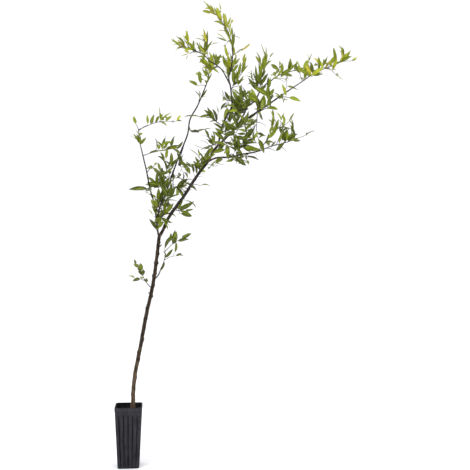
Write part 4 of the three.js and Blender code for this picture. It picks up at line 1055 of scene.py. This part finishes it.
# Stubs on the trunk: share of its length, heading, radius and length.
STUBS = [(0.925, (0.75, -0.3, 0.35), 2.3, 16), (0.62, (-0.8, -0.4, 0.4), 1.7, 12),
         (0.385, (0.85, -0.35, 0.3), 1.6, 11)]
TRUNK_SIDES, BOUGH_SIDES = 44, 22
TRUNK_STEP, BOUGH_STEP, TWIG_STEP, SPUR_STEP = 2.2, 2.8, 4, 5  # between rings
BOUGH_NODES, NODE_PITCH = (19, 34), (11, 19)  # least and most between nodes, bough and twig
BOUGH_SEED, BOUGH_SEED_STEP = 40, 7
BOUGH_RELIEF = 0.4  # depth of a bough's furrows, as a share of the trunk's
BLADE_RINGS, BLADE_SIDES = 10, 8
LEAF_BEND, LEAF_TWIST = (0.42, 0.42), (0, 0.5)  # mean and spread, in radians
LEAF_FOLD = (0.12, 0.62)  # least and most that the edges rise, as shares of the half-width
STALK = 0.075  # share of a leaf's length
STALK_HALF = 0.5  # half the width of a stalk at its foot
OLD_AGE, OLD_DARKER = 0.4, 0.2  # leaves nearer a shoot's foot than this are dealt darker


def trunk_shape(route, relief):
    """The trunk: its taper and root flare, swellings that fall off as a bell curve from each
    knot, low ripples, and furrows along its length."""
    ripple = ripples(seed=3, count=14, turns=5, wave=46)
    finer = ripples(seed=4, count=22, turns=11, wave=9)
    crack = furrows(seed=8, count=9, width=0.085)
    low, high = route.stations[0][2], route.stations[-1][2]

    def radius(f, a, s):
        knots = 0
        for height, angle, size in KNOTS:
            at = (height - low) / (high - low)
            near = np.exp(-(((f - at) * route.length / KNOT_REACH) ** 2))
            knots = knots + size * near * (0.42 + 0.58 * np.cos(a - angle))
        roots = 1 + 0.16 * np.exp(-s / ROOT_REACH) * np.cos(ROOTS * a + 0.7)
        return (route.radius(f) * roots + LIMB_COAT + 0.36 * ripple(a, s)
                + 0.2 * finer(a, s) + knots + relief * crack(a, s))

    return radius, crack


def bough_shape(route, seed, relief):
    """A bough: its taper, a low collar that swells its foot as a bell curve, a node every few
    centimetres on turning sides, ripples and shallow furrows."""
    ripple = ripples(seed, count=12, turns=4, wave=38)
    finer = ripples(seed + 1, count=16, turns=7, wave=7)
    crack = furrows(seed + 2, count=6, width=0.13)
    rng = np.random.default_rng(seed + 3)
    nodes = np.cumsum(rng.uniform(*BOUGH_NODES, int(route.length / 24)))

    def radius(f, a, s):
        swell = 0
        for i, at in enumerate(nodes):
            near = np.exp(-(((s - at) / NODE_REACH) ** 2))
            swell = swell + near * (0.5 + 0.5 * np.cos(a - GOLDEN_ANGLE * i))
        base = route.radius(f) + LIMB_COAT
        collar = COLLAR * np.exp(-((s / COLLAR_REACH) ** 2))
        return collar + base * (1 + 0.16 * swell + 0.045 * ripple(a, s)
                                + 0.03 * finer(a, s)) + relief * crack(a, s)

    return radius, crack


def bark_tone(crack, route, sides, rings):
    """How deep in a furrow each point of a tube lies, from 0 to 1, and 0 on its two ends."""
    f = np.linspace(0, 1, rings)
    a = 2 * np.pi * np.arange(sides) / sides
    depth = np.clip(-crack(a[None, :], f[:, None] * route.length), 0, 1) * np.ones((rings, 1))
    return np.concatenate([depth.ravel(), [0, 0]])


def stub(foot, heading, radius, length):
    """A shoot cut back to a stub: a short limb that thins, bends up and ends blunt. Its
    radius falls in proportion to the share along, and drops at the cut."""
    mid = foot + heading * length * 0.55
    route = Route([foot, mid, foot + heading * length + UP * length * 0.25])

    def taper(f, a, s):
        return radius * (1.25 - 0.45 * f) * np.where(f > 0.97, 0.72, 1)

    return tube(route, taper, 12, 14)


def twig_shape(route, coat, pitch):
    """A twig or spur: its taper, four low ridges as cos of four times the angle, and nodes
    that swell as bell curves at its foot and every pitch from there."""
    def radius(f, a, s):
        node = np.exp(-((((s + 3) % pitch - 3) / 1.6) ** 2))
        return (route.radius(f) + coat) * (1 + 0.22 * node + 0.06 * np.cos(4 * a))

    return radius


def leaf_blades(leaves, rng, thickness):
    """Leaves as closed blades. Half-width along the blade is sin(pi × share^0.78), drawn out
    to a stalk at the root and a point at the tip; the midline bends as an arc of a circle,
    the two halves fold up from it, the edges ripple, and the blade turns about its midline.
    Rings of eight points run edge, upper face, edge, underside."""
    n = len(leaves)
    root, heading, normal = (np.array([leaf[k] for leaf in leaves])
                             for k in ("root", "heading", "normal"))
    length, width = (np.array([leaf[k] for leaf in leaves]) for k in ("length", "width"))
    side = np.cross(normal, heading)
    bend, twist = rng.normal(*LEAF_BEND, n), rng.normal(*LEAF_TWIST, n)
    fold, wave = rng.uniform(*LEAF_FOLD, n), rng.uniform(0, 6.3, n)
    bend = np.where(np.abs(bend) < 0.02, 0.02, bend)[:, None]
    a = np.concatenate([[0.02, 0.085], np.linspace(0.15, 0.965, BLADE_RINGS - 2)])[None, :]
    share = np.clip((a - STALK) / (1 - STALK), 0, 1)
    half = width[:, None] / 2 * np.sin(np.pi * share**0.78) ** 0.8
    half = np.maximum(half, STALK_HALF * (1 - 0.7 * share))

    def midline(a):
        """Points, headings and normals along each midline."""
        angle = bend * a
        forward, drop = np.sin(angle) / bend, (1 - np.cos(angle)) / bend
        reach = length[:, None, None]
        spot = (root[:, None] + reach * (forward[..., None] * heading[:, None]
                                         - drop[..., None] * normal[:, None]))
        rise = (np.cos(angle)[..., None] * normal[:, None]
                + np.sin(angle)[..., None] * heading[:, None])
        turn = (twist[:, None] * a)[..., None]
        return (spot, np.cos(turn) * side[:, None] + np.sin(turn) * rise,
                np.cos(turn) * rise - np.sin(turn) * side[:, None])

    middle, out, rise = midline(a)
    v = np.array([1, 0.5, 0, -0.5, -1, -0.5, 0, 0.5])
    face = np.array([0, 1, 1, 1, 0, -1, -1, -1])
    lift = fold[:, None, None] * np.abs(v) ** 1.4 * half[..., None]
    edge = np.sin(9 * a[..., None] + wave[:, None, None] + 1.4 * np.sign(v)) * np.abs(v) ** 2
    lift = lift + 0.09 * half[..., None] * edge
    thick = thickness * (1 - v**2) * face + np.where((v == 0) & (face < 0), -0.25, 0) * (
        1 - 0.8 * share)[..., None]
    ring = (middle[:, :, None] + (half[..., None] * v)[..., None] * out[:, :, None]
            + (lift + thick)[..., None] * rise[:, :, None])
    ends = np.concatenate([midline(np.full((n, 1), end))[0] for end in (0.0, 1.0)], axis=1)
    return np.concatenate([ring.reshape(n, -1, 3), ends], axis=1)


def leaf_faces():
    """The faces of one blade, their places, and 1 on each face of the underside, which is
    the second half of every ring and of both end fans."""
    under = np.arange(BLADE_SIDES) >= BLADE_SIDES // 2
    return *ring_faces(BLADE_RINGS, BLADE_SIDES), np.tile(under, BLADE_RINGS + 1)


def pick_tint(leaf, draw):
    """The tint of a leaf: the one of its spray's shares that a draw from 0 to 1 falls in."""
    draw = draw - OLD_DARKER * (leaf["age"] < OLD_AGE)
    reached = 0
    for tint, share in SPRAY_TINTS.get(leaf["spray"], PLAIN).items():
        reached += share
        if draw < reached:
            break
    return tint


def sharpen_outline(mesh, leaves):
    """Marks the two edges of every blade, so that its faces are shaded apart."""
    edge = np.arange(BLADE_SIDES) % (BLADE_SIDES // 2) == 0
    rim = np.tile(np.append(np.tile(edge, BLADE_RINGS), [True, True]), leaves)
    ends = np.empty(2 * len(mesh.edges), int)
    mesh.edges.foreach_get("vertices", ends)
    mesh.attributes.new("sharp_edge", "BOOLEAN", "EDGE").data.foreach_set(
        "value", rim[ends.reshape(-1, 2)].all(axis=1))


# ------------------------------------------------------------------ studio, in metres

CAMERA_PLACE, CAMERA_TURN = (0.1410, -3.0238, 0.8766), (90, 0, -5)  # and degrees
CAMERA_SENSOR, CAMERA_LENS = 36, 60.47  # millimetres
LIGHT_AIM = (0.3, 0, 1.0)
COVE_RADIUS, COVE_BEND, COVE_HEIGHT, COVE_SIDES = 5.4, 1.6, 7.5, 96


def cove():
    """A round floor that turns up into a wall: out to the radius, round a quarter circle and
    up to the height, turned about the upright axis."""
    a = np.linspace(0, np.pi / 2, 16)
    r = np.concatenate([np.linspace(0.01, COVE_RADIUS, 12),
                        COVE_RADIUS + COVE_BEND * np.sin(a[1:]),
                        np.full(3, COVE_RADIUS + COVE_BEND)])
    z = np.concatenate([np.zeros(12), COVE_BEND * (1 - np.cos(a[1:])),
                        np.linspace(COVE_BEND, COVE_HEIGHT, 4)[1:]])
    t = 2 * np.pi * np.arange(COVE_SIDES) / COVE_SIDES
    points = np.stack([np.outer(r, np.cos(t)), np.outer(r, np.sin(t)),
                       np.outer(z, np.ones(COVE_SIDES))], axis=-1).reshape(-1, 3)
    i, j = (g.ravel() for g in np.meshgrid(np.arange(len(r) - 1), np.arange(COVE_SIDES),
                                           indexing="ij"))
    near, far = i * COVE_SIDES, (i + 1) * COVE_SIDES
    after = (j + 1) % COVE_SIDES
    quads = np.stack([near + j, far + j, far + after, near + after], axis=1)
    return points, [*quads.tolist(), list(range(COVE_SIDES))]


def studio_light(name, place, size, power):
    """A square soft white light that looks at the tree and isn't itself seen."""
    lamp = bpy.data.lights.new(name, "AREA")
    lamp.shape, lamp.size, lamp.energy = "SQUARE", size, power
    made = bpy.data.objects.new(name, lamp)
    bpy.context.scene.collection.objects.link(made)
    made.location = place
    back = unit(np.array(place) - np.array(LIGHT_AIM))
    side = unit(np.cross(UP, back))
    turn = np.column_stack([side, np.cross(back, side), back])
    made.rotation_euler = Matrix(turn.tolist()).to_euler()
    made.visible_camera = False


# ------------------------------------------------------------------ settings


def length_of(name, description, default):
    """A setting that is a length in metres."""
    return bpy.props.FloatProperty(name=name, description=description, default=default,
                                   min=0.0, unit="LENGTH", precision=4)


def colour_of(name, description, default):
    """A setting that is a colour, with its default as sRGB hex."""
    return bpy.props.FloatVectorProperty(name=name, description=description, size=4, min=0.0,
                                         max=1.0, subtype="COLOR", default=linear(default))


class PotSettings(bpy.types.PropertyGroup):
    height: length_of("Height", "From the underside to the rim", float(POT_HIGH[2]))
    rim_width: length_of("Rim width", "Across the rim's flats", float(POT_HIGH[0] - POT_LOW[0]))
    neck_width: length_of("Neck width", "Across the flats below the rim", 0.1)
    base_width: length_of("Base width", "Across the flats at the foot", 0.081)
    wall: length_of("Wall", "Thickness of the moulded wall", 0.0024)
    flute_depth: length_of("Flute depth", "How far the upright grooves are pressed in", 0.0018)
    flutes: bpy.props.IntProperty(name="Flutes", description="Grooves on each face",
                                  default=5, min=0, max=9)
    hole_radius: length_of("Hole radius", "Radius of the drain holes", 0.005)
    hole_offset: length_of("Hole offset", "From the middle of the floor, along X and Y", 0.022)
    plastic: colour_of("Plastic", "Colour of the clean moulding", "#0d0d0f")


class MixSettings(bpy.types.PropertyGroup):
    level: length_of("Level", "Height of the fill", float(MIX_HIGH[2]))
    width: length_of("Width", "Across the fill at its level", float(2 * MIX_HIGH[0]))
    chips: bpy.props.IntProperty(name="Chips", description="Flakes of bark on the surface",
                                 default=330, min=0, max=2000)


class WoodSettings(bpy.types.PropertyGroup):
    relief: length_of("Furrow depth", "Depth of the cracks in the trunk's bark", 0.00085)
    foot_bark: colour_of("Foot bark", "The trunk's bark near the mix", "#45382a")
    bough_bark: colour_of("Bough bark", "Bark of the boughs", "#17120d")
    twig_sides: bpy.props.IntProperty(name="Twig sides", description="Flats round a twig",
                                      default=6, min=3, max=16)


class FoliageSettings(bpy.types.PropertyGroup):
    fullness: bpy.props.FloatProperty(name="Fullness", default=0.72, min=0.0, max=3.0,
                                      description="Fine spurs for each leaf on a shoot")
    thickness: length_of("Leaf thickness", "Half the thickness of a blade", 0.00022)
    seed: bpy.props.IntProperty(name="Seed", description="Draw that shapes and tints leaves",
                                default=17, min=0)


class StudioSettings(bpy.types.PropertyGroup):
    paper: colour_of("Paper", "Colour of the floor and the wall", "#f9f9fb")
    key: bpy.props.FloatProperty(name="Key light", description="Power of the main light",
                                 default=80.0, min=0.0, unit="POWER")
    fill: bpy.props.FloatProperty(name="Fill light", description="Power of the second light",
                                  default=22.0, min=0.0, unit="POWER")
    sky: bpy.props.FloatProperty(name="Room light", description="Strength of the light from "
                                 "all round", default=1.19, min=0.0)


# ------------------------------------------------------------------ operators


class POMEGRANATE_OT_studio(bpy.types.Operator):
    """Set up the camera, the paper cove and the soft lights"""
    bl_idname = "pomegranate.studio"
    bl_label = "Set Up Studio"

    def execute(self, context):
        settings, scene = context.scene.pomegranate_studio, context.scene
        camera = bpy.data.objects.new("camera", bpy.data.cameras.new("camera"))
        scene.collection.objects.link(camera)
        camera.location = CAMERA_PLACE
        camera.rotation_euler = [math.radians(angle) for angle in CAMERA_TURN]
        camera.data.sensor_width, camera.data.lens = CAMERA_SENSOR, CAMERA_LENS
        scene.camera = camera
        points, faces = cove()
        mesh = bpy.data.meshes.new("paper_cove")
        mesh.from_pydata(points, [], faces)
        mesh.shade_smooth()
        paper = bpy.data.objects.new("paper_cove", mesh)
        scene.collection.objects.link(paper)
        mesh.materials.append(finish("seamless_paper", tuple(settings.paper), 0.95, None, 0,
                                     specular_ior_level=0.1))
        studio_light("key_light", (-1.9, -2.7, 3.3), 2.2, settings.key)
        studio_light("fill_light", (2.6, -2.2, 1.9), 2.4, settings.fill)
        studio_light("back_light", (1.4, 2.8, 3.4), 2.4, settings.fill)
        world = bpy.data.worlds.new("room_light")
        world.use_nodes = True
        room = world.node_tree.nodes["Background"]
        room.inputs["Color"].default_value = (1, 1, 1, 1)
        room.inputs["Strength"].default_value = settings.sky
        scene.world = world
        scene.view_settings.view_transform = "Standard"
        return {"FINISHED"}


class POMEGRANATE_OT_pot(bpy.types.Operator):
    """Mould the square nursery pot with its flutes, rolled rim and drain holes"""
    bl_idname = "pomegranate.pot"
    bl_label = "Make Pot"

    def execute(self, context):
        pot = context.scene.pomegranate_pot
        rings, wear_and_painted_shade = pot_rings(pot)
        sides = len(rings[0])
        ends = [rings[0].mean(axis=0), rings[-1].mean(axis=0)]
        shell = Shapes()
        shell.add(np.vstack([*rings, ends]), *ring_faces(len(rings), sides),
                  np.append(wear_and_painted_shade, [0.2, 0.2]))
        plastic = moulded_polypropylene(tuple(pot.plastic))
        made = shell.piece("pot_shell", [plastic], ["pot"])
        cut_drain_holes(made, pot.hole_radius, pot.hole_offset)
        made.data.set_sharp_from_angle(angle=math.radians(38))
        return {"FINISHED"}


class POMEGRANATE_OT_fill(bpy.types.Operator):
    """Fill the pot with potting mix and strew it with flakes of bark"""
    bl_idname = "pomegranate.fill"
    bl_label = "Fill Pot"

    def execute(self, context):
        settings, pot = context.scene.pomegranate_mix, context.scene.pomegranate_pot
        level, width = settings.level / MM, settings.width / MM
        height = mix_surface(width, level)
        foot, low = (pot.base_width - 2 * pot.wall) / MM - 0.6, FLOOR + 0.3
        rings = [pot_section(mix(foot, width, t), FILL_CORNER, mix(low, level - 4, t),
                             across=12)[:, :3] for t in np.linspace(0, 1, 8)]
        for t in np.linspace(1, 0.02, 40):
            ring = pot_section(width * t, FILL_CORNER * t, 0, across=12)[:, :3]
            ring[:, 2] = height(ring[:, 0], ring[:, 1])
            rings.append(ring)
        bed = Shapes()
        middle = [0, 0, float(height(0, 0))]
        bed.add(np.vstack([*rings, [[0, 0, low], middle]]),
                *ring_faces(len(rings), len(rings[0])))
        bed.piece("potting_mix_bed", [composted_bark_mix()], ["potting_mix"])
        flakes = Shapes()
        for points, faces, places, tone in chips(height, width, settings.chips):
            flakes.add(points, faces, places, tone)
        flakes.piece("bark_flakes", [pine_bark_chip()], [])
        return {"FINISHED"}


class POMEGRANATE_OT_limbs(bpy.types.Operator):
    """Grow the trunk and the boughs with their furrowed bark"""
    bl_idname = "pomegranate.limbs"
    bl_label = "Grow Trunk and Boughs"

    def execute(self, context):
        wood = context.scene.pomegranate_wood
        limbs = grow_limbs()
        trunk = limbs["trunk"]
        radius, crack = trunk_shape(trunk, wood.relief / MM)
        rings = int(trunk.length / TRUNK_STEP)
        stem = Shapes()
        stem.add(*tube(trunk, radius, TRUNK_SIDES, rings),
                 bark_tone(crack, trunk, TRUNK_SIDES, rings))
        for share, heading, size, length in STUBS:
            stem.add(*stub(trunk.at(share), unit(np.array(heading)), size, length), 0.2)
        bark = pomegranate_bark("trunk_bark_coat", (tuple(wood.foot_bark), linear("#63523e")),
                                (linear("#17110a"), linear("#443627")), linear("#0b0805"),
                                linear("#33291d"), 0.15, 0.5, (9, 25))
        stem.piece("trunk_bark", [bark], ["trunk"])
        boughs = Shapes()
        for i, (name, route) in enumerate(limbs.items()):
            if name == "trunk":
                continue
            radius, crack = bough_shape(route, BOUGH_SEED + BOUGH_SEED_STEP * i,
                                        wood.relief / MM * BOUGH_RELIEF)
            rings = int(route.length / BOUGH_STEP)
            boughs.add(*tube(route, radius, BOUGH_SIDES, rings),
                       bark_tone(crack, route, BOUGH_SIDES, rings))
        coat = pomegranate_bark("bough_bark_coat", (linear("#52433a"), linear("#86705f")),
                                (tuple(wood.bough_bark), linear("#30271f")),
                                linear("#0e0a08"), linear("#453d38"), 0.2, 0.3, (-4, 6))
        boughs.piece("bough_bark", [coat], [name for name in limbs if name != "trunk"])
        return {"FINISHED"}


class POMEGRANATE_OT_foliage(bpy.types.Operator):
    """Grow the twigs, the fine spurs and the leaves, each tint of leaf as one piece"""
    bl_idname = "pomegranate.foliage"
    bl_label = "Grow Foliage"

    def execute(self, context):
        settings = context.scene.pomegranate_foliage
        sides = context.scene.pomegranate_wood.twig_sides
        _, shoots, spurs, leaves = grow_tree(settings.fullness)
        rng = np.random.default_rng(settings.seed)
        wood = Shapes()
        routes = [shoot[1] for shoot in shoots] + spurs
        for k, route in enumerate(routes):
            step, coat, young = ((TWIG_STEP, TWIG_COAT, 0) if k < len(shoots)
                                 else (SPUR_STEP, 0, 0.5))
            rings = max(3, int(route.length / step) + 1)
            tone = np.repeat(np.linspace(0, 1, rings), sides) * (1 - young) + young
            wood.add(*tube(route, twig_shape(route, coat, rng.uniform(*NODE_PITCH)), sides,
                           rings), np.concatenate([tone, [young, 1]]))
        wood.piece("twig_wood", [young_rind()], list(SPRAYS))
        faces, places, under = leaf_faces()
        dealt = {tint: [] for tint in TINTS}
        for leaf in leaves:
            dealt[pick_tint(leaf, rng.uniform() * 0.9999)].append(leaf)
        for tint, some in dealt.items():
            if not some:
                continue
            blades = Shapes()
            tone = np.clip(rng.normal(0.5, 0.24, len(some)), 0, 1)
            for points, t in zip(leaf_blades(some, rng, settings.thickness / MM), tone):
                blades.add(points, faces, places, t, under)
            upper, lower = TINTS[tint]
            skins = [leaf_skin(tint, "upper", linear(upper)),
                     leaf_skin(tint, "lower", linear(lower))]
            made = blades.piece(f"leaves_{tint}", skins, [])
            sharpen_outline(made.data, len(some))
        return {"FINISHED"}


# ------------------------------------------------------------------ sidebar


SECTIONS = [  # each operator with its settings, and their name in the scene
    (POMEGRANATE_OT_studio, StudioSettings, "pomegranate_studio"),
    (POMEGRANATE_OT_pot, PotSettings, "pomegranate_pot"),
    (POMEGRANATE_OT_fill, MixSettings, "pomegranate_mix"),
    (POMEGRANATE_OT_limbs, WoodSettings, "pomegranate_wood"),
    (POMEGRANATE_OT_foliage, FoliageSettings, "pomegranate_foliage"),
]


class POMEGRANATE_PT_sidebar(bpy.types.Panel):
    """Each group of pieces with its settings"""
    bl_label = "Potted Pomegranate Tree"
    bl_idname = "POMEGRANATE_PT_sidebar"
    bl_space_type = "VIEW_3D"
    bl_region_type = "UI"
    bl_category = "Pomegranate"

    def draw(self, context):
        for operator, group, name in SECTIONS:
            box = self.layout.box()
            for setting in group.__annotations__:
                box.prop(getattr(context.scene, name), setting)
            box.operator(operator.bl_idname)


def register():
    for operator, group, name in SECTIONS:
        bpy.utils.register_class(group)
        bpy.utils.register_class(operator)
        setattr(bpy.types.Scene, name, bpy.props.PointerProperty(type=group))
    bpy.utils.register_class(POMEGRANATE_PT_sidebar)


def unregister():
    bpy.utils.unregister_class(POMEGRANATE_PT_sidebar)
    for operator, group, name in reversed(SECTIONS):
        delattr(bpy.types.Scene, name)
        bpy.utils.unregister_class(operator)
        bpy.utils.unregister_class(group)


def main():
    register()
    bpy.ops.pomegranate.studio()
    bpy.ops.pomegranate.pot()
    bpy.ops.pomegranate.fill()
    bpy.ops.pomegranate.limbs()
    bpy.ops.pomegranate.foliage()


if __name__ == "__main__":
    main()
